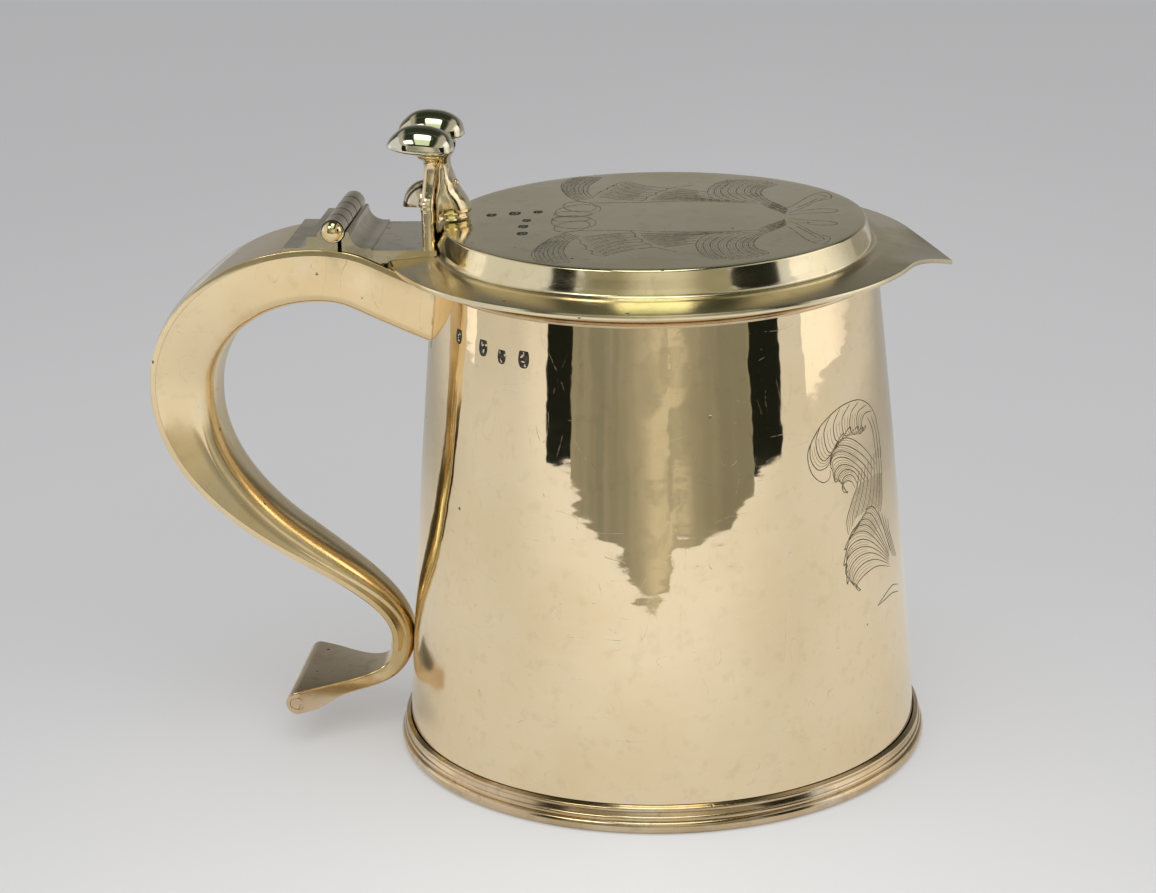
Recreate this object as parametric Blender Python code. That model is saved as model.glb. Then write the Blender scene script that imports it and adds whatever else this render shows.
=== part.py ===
# Covered tankard: a tapering raised drum on a moulded foot, a hollow scroll handle and a
# flat stepped lid with a pointed peak, swinging on an interleaved five-knuckle hinge.
# Lengths are metres and +Z is up. The handle lies on the -X side, the lid's peak on the +X side.

import math

import bmesh
import bpy
from mathutils import Vector

# Seams and running clearances
SEAM_GAP = 0.0003
BEZEL_CLEARANCE = 0.0010
PIN_CLEARANCE = 0.0003
KNUCKLE_GAP = 0.0003
PLATE_CLEARANCE = 0.0005

# Drum, base and mouldings
DRUM_BASE_RADIUS = 0.0690
DRUM_MOUTH_RADIUS = 0.0577
DRUM_MOUTH_HEIGHT = 0.1350
DRUM_BULGE = 0.0006
DRUM_WALL = 0.0012
BASE_THICKNESS = 0.0012
BASE_CROWN = 0.0015
FOOT_HEIGHT = 0.0072
FOOT_LEDGE_HEIGHT = 0.0030
FOOT_PROJECTION = 0.0022
FOOT_SEAT_WIDTH = 0.0035
LIP_HEIGHT = 0.0057
LIP_PROJECTION = 0.0023

# Lid
LID_HEIGHT = 0.0077
LID_SHEET = 0.0012
LID_DOME = 0.0004
CROWN_TAPER = 0.0018
CROWN_EDGE_RADIUS = 0.0007
CROWN_COVE_RADIUS = 0.0012
FLANGE_OVERHANG = 0.0090
FLANGE_FALL = 0.0010
PEAK_REACH = 0.0082
PEAK_DROOP = 0.0040
PEAK_HALF_ANGLE = math.radians(17.0)
BEZEL_DEPTH = 0.0052
BEZEL_RISE = 0.0038
BEZEL_WALL = 0.0011

# Hinge
HINGE_STANDOFF = 0.0127
HINGE_RISE = 0.0082
BARREL_RADIUS = 0.0030
BARREL_LENGTH = 0.0340
KNUCKLE_COUNT = 5
PIN_RADIUS = 0.0013
PIN_HEAD_RADIUS = 0.0028
PIN_HEAD_HEIGHT = 0.0025
HANDLE_PLATE_WEB = 0.0018
HANDLE_PLATE_LENGTH = 0.0135
HANDLE_PLATE_TREAD = 0.0011
LID_PLATE_THICKNESS = 0.0014
LID_PLATE_STEP = 0.0005
PLATE_INSET = 0.0007

# Handle: the strap's back line, its widths and its depths
HANDLE_REACH = 0.0521
STRAP_CROWN = 0.0012
HANDLE_CREST_OFFSET = 0.0050
HANDLE_BEND_DROP = 0.0399
HANDLE_ROOT_HEIGHT = 0.0258
HANDLE_ROOT_DROP = 0.0078
HANDLE_ROOT_LEAD = 0.0060
HANDLE_ARM_REACH = 0.0266
HANDLE_ARM_RISE = 0.0251
HANDLE_ARM_SLOPE = math.radians(-31.0)
TAIL_LENGTH = 0.0245
TAIL_HEIGHT = 0.0160
HANDLE_WIDTH_TOP = 0.0330
HANDLE_WIDTH_BEND = 0.0250
HANDLE_WIDTH_ARM = 0.0190
HANDLE_WIDTH_ROOT = 0.0115
TAIL_WIDTH = 0.0412
HANDLE_DEPTH_TOP = 0.0146
HANDLE_DEPTH_BEND = 0.0163
HANDLE_DEPTH_ARM = 0.0082
HANDLE_DEPTH_ROOT = 0.0056
TAIL_THICKNESS = 0.0040
TAIL_BEAD_THICKNESS = 0.0060
HANDLE_CORNER_TOP = 0.0026
HANDLE_CORNER_BEND = 0.0052
HANDLE_CORNER_ARM = 0.0064
HANDLE_LEAN_TOP = 0.03
HANDLE_LEAN_BEND = 0.20
HANDLE_WALL = 0.0013
STRAP_THICKNESS = 0.0015

# Thumbpiece
STEM_THICKNESS = 0.0036
STEM_WIDTH = 0.0165
STEM_WAIST_WIDTH = 0.0100
STEM_TOP_WIDTH = 0.0240
STEM_HEIGHT = 0.0235
STEM_COLLAR_HEIGHT = 0.0090
STEM_LEAN = 0.0018
STEM_RIB_SHARE = 0.12
SPUR_LENGTH = 0.0046
SPUR_RISE = 0.0046
SPUR_WIDTH = 0.0125
SCROLL_LENGTH = 0.0090
SCROLL_WIDTH = 0.0110
SCROLL_NECK_THICKNESS = 0.0014
CUSP_LENGTH = 0.0180
CUSP_TIP_REACH = 0.0110
CUSP_WIDTH = 0.0136
CUSP_RISE = 0.0058
CUSP_DROP = 0.0015
CUSP_TILT = 0.0004
CUSP_SPACING = 0.0206

# Facet counts
RING_SEGMENTS = 56
BARREL_SEGMENTS = 20
ARC_STEPS = 4
PATH_STEPS = 9

# Place of the tail's seam, counted in knots of the back line
TAIL_SEAM = 5.1

# Colours of the gilt
GILT_SIDE = (0.80, 0.64, 0.36)
GILT_TOP = (0.66, 0.62, 0.50)
GILT_DEEP = (0.70, 0.50, 0.22)
GILT_BALL = (0.84, 0.72, 0.40)
CUTTER_COLOUR = (0.5, 0.5, 0.5)

# Heights and radii that follow from the driving sizes
lid_rest_z = DRUM_MOUTH_HEIGHT + SEAM_GAP
lid_top_z = lid_rest_z + LID_HEIGHT
flange_top_z = lid_rest_z + LID_SHEET
flange_rim_z = flange_top_z - FLANGE_FALL
lid_inside_z = lid_top_z - CROWN_EDGE_RADIUS - LID_SHEET
drum_floor_z = FOOT_LEDGE_HEIGHT + SEAM_GAP
mouth_inner_radius = DRUM_MOUTH_RADIUS - DRUM_WALL
bezel_radius = mouth_inner_radius - BEZEL_CLEARANCE
crown_foot_radius = bezel_radius + SEAM_GAP + LID_SHEET
crown_top_radius = crown_foot_radius - CROWN_TAPER
lip_radius = DRUM_MOUTH_RADIUS + SEAM_GAP + LIP_PROJECTION
flange_radius = lip_radius + FLANGE_OVERHANG
peak_radius = flange_radius + PEAK_REACH
hinge_x = -(flange_radius + HINGE_STANDOFF)
hinge_z = lid_rest_z + HINGE_RISE
barrel_seat_radius = BARREL_RADIUS + SEAM_GAP
handle_crest_z = hinge_z - barrel_seat_radius - HANDLE_PLATE_WEB
handle_bend_x = hinge_x - HANDLE_REACH
plate_half_width = BARREL_LENGTH / 2 - PLATE_INSET
lid_plate_top_z = flange_top_z + SEAM_GAP + LID_PLATE_THICKNESS
stem_base_z = lid_plate_top_z + SEAM_GAP
stem_top_z = stem_base_z + STEM_HEIGHT
stem_front_x = -(crown_foot_radius + SEAM_GAP)
collar_z = stem_base_z + STEM_COLLAR_HEIGHT
flange_seat_share = LIP_PROJECTION / (LIP_PROJECTION + FLANGE_OVERHANG)
body_offset_x = -(handle_bend_x - STRAP_CROWN + peak_radius) / 2


def blend(start, end, share):
    return start + (end - start) * share


def smooth_share(share):
    return share * share * (3 - 2 * share)


def through(stops, position):
    # Value at a position on a smooth curve through a list of (position, value) stops, level at both ends.
    if position <= stops[0][0]:
        return stops[0][1]
    if position >= stops[-1][0]:
        return stops[-1][1]
    slopes = [0.0]
    for (before, low), (after, high) in zip(stops, stops[2:]):
        slopes.append((high - low) / (after - before))
    slopes.append(0.0)
    index = max(i for i, stop in enumerate(stops) if stop[0] <= position)
    (here, value), (there, following) = stops[index:index + 2]
    span = there - here
    t = (position - here) / span
    eased = blend(value, following, smooth_share(t))
    return eased + span * t * (1 - t) * (slopes[index] * (1 - t) - slopes[index + 1] * t)


def drum_radius(z):
    share = (z - drum_floor_z) / (DRUM_MOUTH_HEIGHT - drum_floor_z)
    return blend(DRUM_BASE_RADIUS, DRUM_MOUTH_RADIUS, share) + DRUM_BULGE * 4 * share * (1 - share)


def half_round(low_z, high_z, base_radius, bulge, steps=ARC_STEPS):
    # Bulging profile from the lower to the upper height, as (radius, z) pairs.
    middle = (low_z + high_z) / 2
    reach = (high_z - low_z) / 2
    angles = [math.pi * (step / steps - 0.5) for step in range(steps + 1)]
    return [(base_radius + bulge * math.cos(a), middle + reach * math.sin(a)) for a in angles]


def arc_points(centre, radius, start, end, steps=ARC_STEPS):
    angles = [blend(start, end, step / steps) for step in range(steps + 1)]
    return [Vector((centre[0] + radius * math.cos(a), centre[1] + radius * math.sin(a))) for a in angles]


def bezier_point(p0, p1, p2, p3, t):
    s = 1 - t
    return p0 * s ** 3 + p1 * 3 * s * s * t + p2 * 3 * s * t * t + p3 * t ** 3


# Scene and object helpers

def clear_scene():
    for leftover in list(bpy.data.objects):
        bpy.data.objects.remove(leftover, do_unlink=True)


def gilt_material(name, colour, roughness):
    material = bpy.data.materials.new(name)
    material.use_nodes = True
    shader = material.node_tree.nodes["Principled BSDF"]
    shader.inputs["Base Color"].default_value = (*colour, 1.0)
    shader.inputs["Metallic"].default_value = 1.0
    shader.inputs["Roughness"].default_value = roughness
    material.diffuse_color = (*colour, 1.0)
    return material


def add_anchor(name, place, parent=None):
    anchor = bpy.data.objects.new(name, None)
    anchor.location = place if parent is None else Vector(place) - Vector(parent["place"])
    anchor["place"] = place
    anchor.parent = parent
    bpy.context.collection.objects.link(anchor)
    return anchor


def add_piece(name, bm, anchor, colour, roughness=0.18):
    # Meshes are drawn about the drum's axis and moved to hang from their anchor.
    bmesh.ops.translate(bm, verts=bm.verts, vec=-Vector(anchor["place"]))
    bmesh.ops.recalc_face_normals(bm, faces=bm.faces)
    mesh = bpy.data.meshes.new(name)
    bm.to_mesh(mesh)
    bm.free()
    mesh.shade_smooth()
    mesh.set_sharp_from_angle(angle=math.radians(35))
    mesh.materials.append(gilt_material(name, colour, roughness))
    piece = bpy.data.objects.new(name, mesh)
    piece.parent = anchor
    bpy.context.collection.objects.link(piece)
    return piece


def add_cutter(name, bm, anchor):
    cutter = add_piece(name, bm, anchor, CUTTER_COLOUR)
    cutter.hide_render = True
    cutter.display_type = "WIRE"
    return cutter


def cut_away(piece, cutter):
    modifier = piece.modifiers.new("cut_" + cutter.name, "BOOLEAN")
    modifier.operation = "DIFFERENCE"
    modifier.solver = "EXACT"
    modifier.object = cutter


# Shape helpers: revolve, loft and extrude

def spin_ring(outline, segments=RING_SEGMENTS):
    # Closed (radius, z) outline turned about the drum's axis.
    bm = bmesh.new()
    verts = [bm.verts.new((radius, 0, z)) for radius, z in outline]
    edges = [bm.edges.new((a, b)) for a, b in zip(verts, verts[1:] + verts[:1])]
    bmesh.ops.spin(bm, geom=verts + edges, cent=(0, 0, 0), axis=(0, 0, 1), angle=math.tau,
                   steps=segments, use_merge=True)
    return bm


def spin_solid(outline, segments=RING_SEGMENTS):
    # Open (radius, z) outline whose two ends lie on the axis.
    bm = bmesh.new()
    rings = [[bm.verts.new((radius * math.cos(a), radius * math.sin(a), z))
              for a in (math.tau * step / segments for step in range(segments))]
             for radius, z in outline[1:-1]]
    for low, high in zip(rings, rings[1:]):
        for step in range(segments):
            after = (step + 1) % segments
            bm.faces.new((low[step], low[after], high[after], high[step]))
    for ring, (_, z) in ((rings[0], outline[0]), (rings[-1], outline[-1])):
        pole = bm.verts.new((0, 0, z))
        for step in range(segments):
            bm.faces.new((ring[step], ring[(step + 1) % segments], pole))
    return bm


def loft(sections, hollow=False):
    # Skin closed sections of equal length and cap both ends. A hollow section runs out along its
    # outer side and back along its inner side, and its caps are strips between the two.
    bm = bmesh.new()
    loops = [[bm.verts.new(point) for point in section] for section in sections]
    for near, far in zip(loops, loops[1:]):
        for step in range(len(near)):
            after = (step + 1) % len(near)
            bm.faces.new((near[step], near[after], far[after], far[step]))
    for loop in (loops[0], loops[-1]):
        if hollow:
            half = len(loop) // 2
            outer, inner = loop[:half], loop[:half - 1:-1]
            for step in range(half - 1):
                bm.faces.new((outer[step], outer[step + 1], inner[step + 1], inner[step]))
        else:
            bmesh.ops.triangulate(bm, faces=[bm.faces.new(loop)])
    return bm


def extrude_across(outline, half_width):
    # Outline in the XZ plane, extruded from -Y to +Y.
    bm = bmesh.new()
    face = bm.faces.new([bm.verts.new((x, -half_width, z)) for x, z in outline])
    grown = bmesh.ops.extrude_face_region(bm, geom=[face])
    moved = [item for item in grown["geom"] if isinstance(item, bmesh.types.BMVert)]
    bmesh.ops.translate(bm, verts=moved, vec=(0, 2 * half_width, 0))
    bmesh.ops.triangulate(bm, faces=[f for f in bm.faces if len(f.verts) > 4])
    return bm


# Drum, base, foot and lip

def build_drum(body):
    heights = [blend(drum_floor_z, DRUM_MOUTH_HEIGHT, step / ARC_STEPS) for step in range(ARC_STEPS + 1)]
    outer = [(drum_radius(z), z) for z in heights]
    inner = [(drum_radius(z) - DRUM_WALL, z) for z in reversed(heights)]
    add_piece("body_drum", spin_ring(outer + inner), body, GILT_SIDE)


def build_base(body):
    rim = drum_radius(drum_floor_z) - DRUM_WALL - SEAM_GAP
    shares = (0.0, 0.4, 0.75, 1.0)
    under = [(rim * s, drum_floor_z + BASE_CROWN * (1 - s * s)) for s in shares]
    upper = [(radius, z + BASE_THICKNESS) for radius, z in reversed(under)]
    add_piece("body_base", spin_solid(under + upper), body, GILT_DEEP)


def build_foot(body):
    # Torus, ovolo and bead, stacked outside the drum's lower edge.
    def out(share):
        return DRUM_BASE_RADIUS + SEAM_GAP + FOOT_PROJECTION * share

    def up(share):
        return FOOT_HEIGHT * share

    seat_radius = drum_radius(drum_floor_z) - DRUM_WALL - FOOT_SEAT_WIDTH
    profile = [(seat_radius, 0.0), (out(0.45), 0.0)]
    profile += half_round(up(0.05), up(0.46), out(0.5), FOOT_PROJECTION * 0.5)
    profile += [(out(0.62), up(0.49)), (out(0.60), up(0.60)), (out(0.48), up(0.71)), (out(0.28), up(0.77))]
    profile += half_round(up(0.79), up(0.96), out(0.2), FOOT_PROJECTION * 0.24, 3)
    profile += [(drum_radius(FOOT_HEIGHT) + SEAM_GAP, FOOT_HEIGHT)]
    profile += [(drum_radius(FOOT_LEDGE_HEIGHT) + SEAM_GAP, FOOT_LEDGE_HEIGHT)]
    profile += [(seat_radius, FOOT_LEDGE_HEIGHT)]
    add_piece("foot_moulding", spin_ring(profile), body, GILT_SIDE)


def build_lip(body):
    # A thin reed under a broad one, round the drum's mouth.
    low_z = DRUM_MOUTH_HEIGHT - LIP_HEIGHT

    def out(share):
        return DRUM_MOUTH_RADIUS + SEAM_GAP + LIP_PROJECTION * share

    def up(share):
        return low_z + LIP_HEIGHT * share

    profile = [(drum_radius(low_z) + SEAM_GAP, low_z)]
    profile += half_round(up(0.02), up(0.24), out(0.28), LIP_PROJECTION * 0.3, 3)
    profile += half_round(up(0.28), up(0.84), out(0.4), LIP_PROJECTION * 0.6)
    profile += [(out(0.35), DRUM_MOUTH_HEIGHT), (out(0.0), DRUM_MOUTH_HEIGHT)]
    add_piece("lip_moulding", spin_ring(profile), body, GILT_SIDE)


# Handle

def handle_knots():
    # Place, heading and reach of each knot on the strap's back line, from the drum's mouth round to the tail.
    root_x = -(drum_radius(HANDLE_ROOT_HEIGHT) + HANDLE_DEPTH_ROOT)
    rim_x = -(flange_radius + SEAM_GAP)
    rim_z = lid_rest_z - FLANGE_FALL - PLATE_CLEARANCE
    inner_x = -(DRUM_MOUTH_RADIUS - HANDLE_ROOT_LEAD)
    crest_x = hinge_x - HANDLE_CREST_OFFSET
    bend_z = handle_crest_z - HANDLE_BEND_DROP
    arm_x = root_x - HANDLE_ARM_REACH
    arm_z = HANDLE_ROOT_HEIGHT + HANDLE_ARM_RISE
    quarter = 0.55
    left, down = math.pi, -math.pi / 2
    rim_heading = math.radians(160)
    rim_reach = (rim_x - crest_x) * 0.4
    return [
        (inner_x, rim_z - HANDLE_ROOT_DROP, rim_heading, 0.0, rim_reach * 0.5),
        (rim_x, rim_z, rim_heading, rim_reach * 0.5, rim_reach),
        (crest_x, handle_crest_z, left, rim_reach, (crest_x - handle_bend_x) * quarter),
        (handle_bend_x, bend_z, down, (handle_crest_z - bend_z) * quarter, (bend_z - arm_z) * 0.47),
        (arm_x, arm_z, HANDLE_ARM_SLOPE, (arm_x - handle_bend_x) * 0.58, HANDLE_ARM_REACH * 0.57),
        (root_x, HANDLE_ROOT_HEIGHT, down, HANDLE_ARM_RISE * 0.36, (HANDLE_ROOT_HEIGHT - TAIL_HEIGHT) * 1.15),
        (root_x - TAIL_LENGTH, TAIL_HEIGHT, left, TAIL_LENGTH * 0.6, 0.0),
    ]


def handle_point(knots, position):
    # Point on the back line and its normal toward the fingers, at a position counted in knots.
    index = min(int(position), len(knots) - 2)
    x0, z0, heading0, _, leave = knots[index]
    x3, z3, heading3, arrive, _ = knots[index + 1]
    p0 = Vector((x0, z0))
    p3 = Vector((x3, z3))
    p1 = p0 + Vector((math.cos(heading0), math.sin(heading0))) * leave
    p2 = p3 - Vector((math.cos(heading3), math.sin(heading3))) * arrive
    t = position - index
    nudge = 1e-4
    here = bezier_point(p0, p1, p2, p3, t)
    ahead = bezier_point(p0, p1, p2, p3, min(t + nudge, 1.0))
    behind = bezier_point(p0, p1, p2, p3, max(t - nudge, 0.0))
    along = (ahead - behind).normalized()
    return here, Vector((-along.y, along.x))


def placed_section(knots, position, section):
    # Section points are (across, depth) from the back line.
    here, inward = handle_point(knots, position)
    spots = [here + inward * depth for _, depth in section]
    return [Vector((spot.x, across, spot.y)) for spot, (across, _) in zip(spots, section)]


def handle_width(position):
    return through([(1, HANDLE_WIDTH_TOP), (2, HANDLE_WIDTH_TOP), (3, HANDLE_WIDTH_BEND),
                    (4, HANDLE_WIDTH_ARM), (5, HANDLE_WIDTH_ROOT)], position)


def handle_depth(position):
    return through([(1, HANDLE_DEPTH_TOP), (2, HANDLE_DEPTH_TOP), (3, HANDLE_DEPTH_BEND),
                    (4, HANDLE_DEPTH_ARM), (5, HANDLE_DEPTH_ROOT)], position)


def channel_section(position):
    # U section, open toward the strap, with leaning sides and rounded corners on the finger side.
    half = handle_width(position) / 2
    top = STRAP_THICKNESS + SEAM_GAP
    floor = handle_depth(position)
    wanted = through([(2, HANDLE_CORNER_TOP), (3, HANDLE_CORNER_BEND), (4, HANDLE_CORNER_ARM)], position)
    corner = min(wanted, (floor - top) * 0.92)
    lean = through([(2, HANDLE_LEAN_TOP), (3, HANDLE_LEAN_BEND)], position)
    sides = []
    for inset, radius in ((0.0, corner), (HANDLE_WALL, max(corner - HANDLE_WALL, HANDLE_WALL * 0.2))):
        side = half - inset
        base = floor - inset
        turn = side - lean * (base - radius - top)
        right = arc_points((turn - radius, base - radius), radius, 0, math.pi / 2)
        left = arc_points((radius - turn, base - radius), radius, math.pi / 2, math.pi)
        sides.append([(side, top)] + [(p.x, p.y) for p in right + left] + [(-side, top)])
    outer, inner = sides
    return outer + inner[::-1]


def handle_positions(start, end):
    count = round((end - start) * PATH_STEPS)
    return [blend(start, end, step / count) for step in range(count + 1)]


def build_handle_channel(body, knots, cutter):
    sections = [placed_section(knots, p, channel_section(p)) for p in handle_positions(0, TAIL_SEAM)]
    cut_away(add_piece("handle_channel", loft(sections, hollow=True), body, GILT_SIDE), cutter)


def build_handle_strap(body, knots, cutter):
    # Flat under the hinge plates, gently crowned from the shoulder down.
    sections = []
    for position in handle_positions(0, TAIL_SEAM):
        half = handle_width(position) / 2
        past_plates = min(max((position - 2.25) / 0.6, 0.0), 1.0)
        crown = STRAP_CROWN * smooth_share(past_plates)
        across = [half * (1 - step / 3) for step in range(7)]
        strip = [(y, -crown * (1 - (y / half) ** 2)) for y in across]
        strip += [(-half, STRAP_THICKNESS), (half, STRAP_THICKNESS)]
        sections.append(placed_section(knots, position, strip))
    cut_away(add_piece("handle_back_strap", loft(sections), body, GILT_TOP), cutter)


def build_handle_tail(body, knots, cutter):
    # Flared solid terminal that thickens to a rolled bead at its free end.
    last = len(knots) - 1
    reach = last - TAIL_SEAM
    seam = SEAM_GAP / TAIL_LENGTH
    bead = TAIL_BEAD_THICKNESS
    thickness = [(0, HANDLE_DEPTH_ROOT), (0.4, TAIL_THICKNESS), (0.72, TAIL_THICKNESS), (0.93, bead)]
    sections = []
    for step in range(PATH_STEPS + 1):
        share = step / PATH_STEPS
        sections.append((share, 0.0, through(thickness, share)))
    for angle in (math.radians(a) for a in (25, 50, 75)):
        inset = bead / 2 * (1 - math.cos(angle))
        sections.append((1 + bead / 2 * math.sin(angle) / TAIL_LENGTH, inset, bead - inset))
    lofted = []
    flare_start = 0.42
    for share, near, far in sections:
        flare = min(max(share - flare_start, 0.0) / (1 - flare_start), 1.0) ** 1.4
        half = blend(HANDLE_WIDTH_ROOT, TAIL_WIDTH, flare) / 2
        chamfer = (far - near) * 0.2
        strip = [(half - chamfer, near), (chamfer - half, near), (-half, near + chamfer),
                 (-half, far - chamfer), (chamfer - half, far), (half - chamfer, far),
                 (half, far - chamfer), (half, near + chamfer)]
        position = TAIL_SEAM + seam + (reach - seam) * min(share, 1.0)
        beyond = max(share - 1.0, 0.0) * TAIL_LENGTH
        heading = knots[-1][2]
        shift = Vector((math.cos(heading), 0, math.sin(heading))) * beyond
        lofted.append([point + shift for point in placed_section(knots, position, strip)])
    cut_away(add_piece("handle_tail", loft(lofted), body, GILT_TOP), cutter)


def strap_line(knots, low_x, high_x, lift):
    # Points on the strap's upper face between two x values, from high x to low x, lifted off it.
    points = []
    for step in range(6 * PATH_STEPS + 1):
        here, inward = handle_point(knots, 3 * step / (6 * PATH_STEPS))
        points.append(here - inward * lift)
    line = [point for point in points if low_x < point.x < high_x]
    ends = [Vector((x, line_height(points, x))) for x in (high_x, low_x)]
    return [ends[0]] + line[::3] + [ends[1]]


def line_height(points, x):
    for before, after in zip(points, points[1:]):
        if after.x <= x <= before.x:
            return blend(before.y, after.y, (before.x - x) / (before.x - after.x))
    return points[-1].y


def build_handle_plate(body, knots):
    # Stepped plate on the strap, hollowed round the barrel.
    front_x = hinge_x + BARREL_RADIUS * 0.33
    back_x = hinge_x - HANDLE_PLATE_LENGTH
    seat = strap_line(knots, back_x, front_x, SEAM_GAP)
    tread_z = seat[-1].y + HANDLE_PLATE_TREAD
    shoulder_x = hinge_x - barrel_seat_radius - BARREL_RADIUS * 0.3
    shoulder_z = hinge_z - BARREL_RADIUS * 0.25
    cove_x = blend(back_x, shoulder_x, 0.45)
    cove_radius = min(shoulder_x - cove_x, shoulder_z - tread_z) * 0.62
    ledge_z = shoulder_z - BARREL_RADIUS * 0.3
    hollow = arc_points((hinge_x, hinge_z), barrel_seat_radius, math.radians(-174), math.radians(-72))
    cove = arc_points((cove_x, tread_z + cove_radius), cove_radius, -math.pi / 2, 0)
    tread = [Vector((back_x, tread_z)), Vector((cove_x - cove_radius * 0.3, tread_z))]
    shoulder = [Vector((cove_x + cove_radius, ledge_z)), Vector((shoulder_x, ledge_z)),
                Vector((shoulder_x, shoulder_z))]
    outline = tread + cove + shoulder + hollow + seat
    add_piece("handle_hinge_plate", extrude_across(outline, plate_half_width), body, GILT_TOP)


# Lid

def lid_profile():
    # Outer face from the centre to the rim, as (radius, z, share of the flange crossed).
    edge = CROWN_EDGE_RADIUS
    cove = CROWN_COVE_RADIUS
    profile = [(crown_top_radius * share, lid_top_z + LID_DOME * (1 - share * share), 0.0)
               for share in (0.0, 0.6)]
    for step in range(4):
        angle = math.pi / 2 * (1 - step / 3)
        radius = crown_top_radius - edge + edge * math.cos(angle)
        profile.append((radius, lid_top_z - edge + edge * math.sin(angle), 0.0))
    for step in range(4):
        angle = math.pi / 2 * step / 3
        radius = crown_foot_radius + cove * (1 - math.cos(angle))
        profile.append((radius, flange_top_z + cove * (1 - math.sin(angle)), 0.0))
    inner = crown_foot_radius + cove
    for share in (0.3, 0.65, 0.88, 1.0):
        fall = FLANGE_FALL * max(share - flange_seat_share, 0.0) / (1 - flange_seat_share)
        profile.append((blend(inner, flange_radius, share), flange_top_z - fall, share))
    return profile


def lid_underside(profile):
    # The outer face moved inward by the sheet's thickness, from the rim back to the centre.
    crown_in = crown_foot_radius - LID_SHEET
    under = [(radius, z - LID_SHEET, share) for radius, z, share in profile if share > 0]
    under.append((crown_in, lid_rest_z, 0.0))
    under.append((crown_top_radius - LID_SHEET, lid_inside_z, 0.0))
    under.append((crown_top_radius - LID_SHEET - CROWN_EDGE_RADIUS, lid_top_z - LID_SHEET, 0.0))
    under.append((0.0, lid_top_z - LID_SHEET + LID_DOME, 0.0))
    rim = [point for point in under if point[2] > 0]
    return rim[::-1] + under[len(rim):]


def lid_angles():
    # Close steps across the peak and even steps round the rest of the rim.
    near = [PEAK_HALF_ANGLE * share for share in (0.08, 0.18, 0.3, 0.45, 0.62, 0.8, 1.0)]
    rest = RING_SEGMENTS - 2 * len(near) - 1
    gap = (math.tau - 2 * PEAK_HALF_ANGLE) / (rest + 1)
    far = [PEAK_HALF_ANGLE + gap * (step + 1) for step in range(rest)]
    return [0.0] + near + far + [-angle for angle in reversed(near)]


def build_lid(lid):
    profile = lid_profile()
    outline = profile + lid_underside(profile)
    loops = []
    bm = bmesh.new()
    for angle in lid_angles():
        turn = abs((angle + math.pi) % math.tau - math.pi) / PEAK_HALF_ANGLE
        point = (1 - min(turn, 1.0)) ** 2
        loop = []
        for radius, z, share in outline[1:-1]:
            reach = radius + PEAK_REACH * point * share
            height = z - PEAK_DROOP * point * share * share
            loop.append(bm.verts.new((reach * math.cos(angle), reach * math.sin(angle), height)))
        loops.append(loop)
    top = bm.verts.new((0, 0, outline[0][1]))
    bottom = bm.verts.new((0, 0, outline[-1][1]))
    for here, after in zip(loops, loops[1:] + loops[:1]):
        for step in range(len(here) - 1):
            bm.faces.new((here[step], here[step + 1], after[step + 1], after[step]))
        bm.faces.new((top, here[0], after[0]))
        bm.faces.new((bottom, after[-1], here[-1]))
    add_piece("lid_cover", bm, lid, GILT_TOP)


def build_bezel(lid):
    # Ring that drops into the mouth below the flange and lies inside the crown's leaning wall above it.
    low = lid_rest_z - BEZEL_DEPTH
    high = lid_rest_z + BEZEL_RISE
    lean = CROWN_TAPER * BEZEL_RISE / (lid_inside_z - lid_rest_z)
    outer = [(bezel_radius, low), (bezel_radius, lid_rest_z), (bezel_radius - lean, high)]
    inner = [(radius - BEZEL_WALL, z) for radius, z in reversed(outer)]
    add_piece("lid_bezel", spin_ring(outer + inner), lid, GILT_DEEP)


def build_lid_plate(lid, knots, cutter):
    # Strap from the barrel over the flange to the crown, with a raised cove beside the barrel.
    front_angle = math.radians(-50)
    low_x = hinge_x + barrel_seat_radius * math.cos(front_angle)
    rim_x = -(flange_radius + SEAM_GAP)
    inside_x = -crown_top_radius
    crest_x = hinge_x + barrel_seat_radius + BARREL_RADIUS * 0.25
    crest_z = hinge_z - BARREL_RADIUS * 0.2
    step_z = lid_plate_top_z + LID_PLATE_STEP
    cove_radius = crest_z - step_z
    cove_x = crest_x + cove_radius
    step_x = blend(cove_x, rim_x, 0.35)
    hollow = arc_points((hinge_x, hinge_z), barrel_seat_radius, front_angle, math.radians(-6))
    cove = arc_points((cove_x, crest_z), cove_radius, math.pi, math.pi * 1.5)
    top = [Vector((step_x, step_z)), Vector((step_x, lid_plate_top_z)), Vector((inside_x, lid_plate_top_z))]
    within_z = flange_rim_z - LID_SHEET / 2
    seat = [Vector((inside_x, within_z)), Vector((rim_x, within_z))]
    seat += strap_line(knots, low_x, rim_x - SEAM_GAP, PLATE_CLEARANCE)
    outline = hollow + cove + top + seat
    cut_away(add_piece("lid_hinge_plate", extrude_across(outline, plate_half_width), lid, GILT_TOP), cutter)


# Hinge barrel and pin

def lay_along_hinge(bm):
    # Turn a shape from the drum's axis onto the hinge's axis.
    for vert in bm.verts:
        x, y, z = vert.co
        vert.co = (hinge_x + x, z, hinge_z + y)
    return bm


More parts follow.
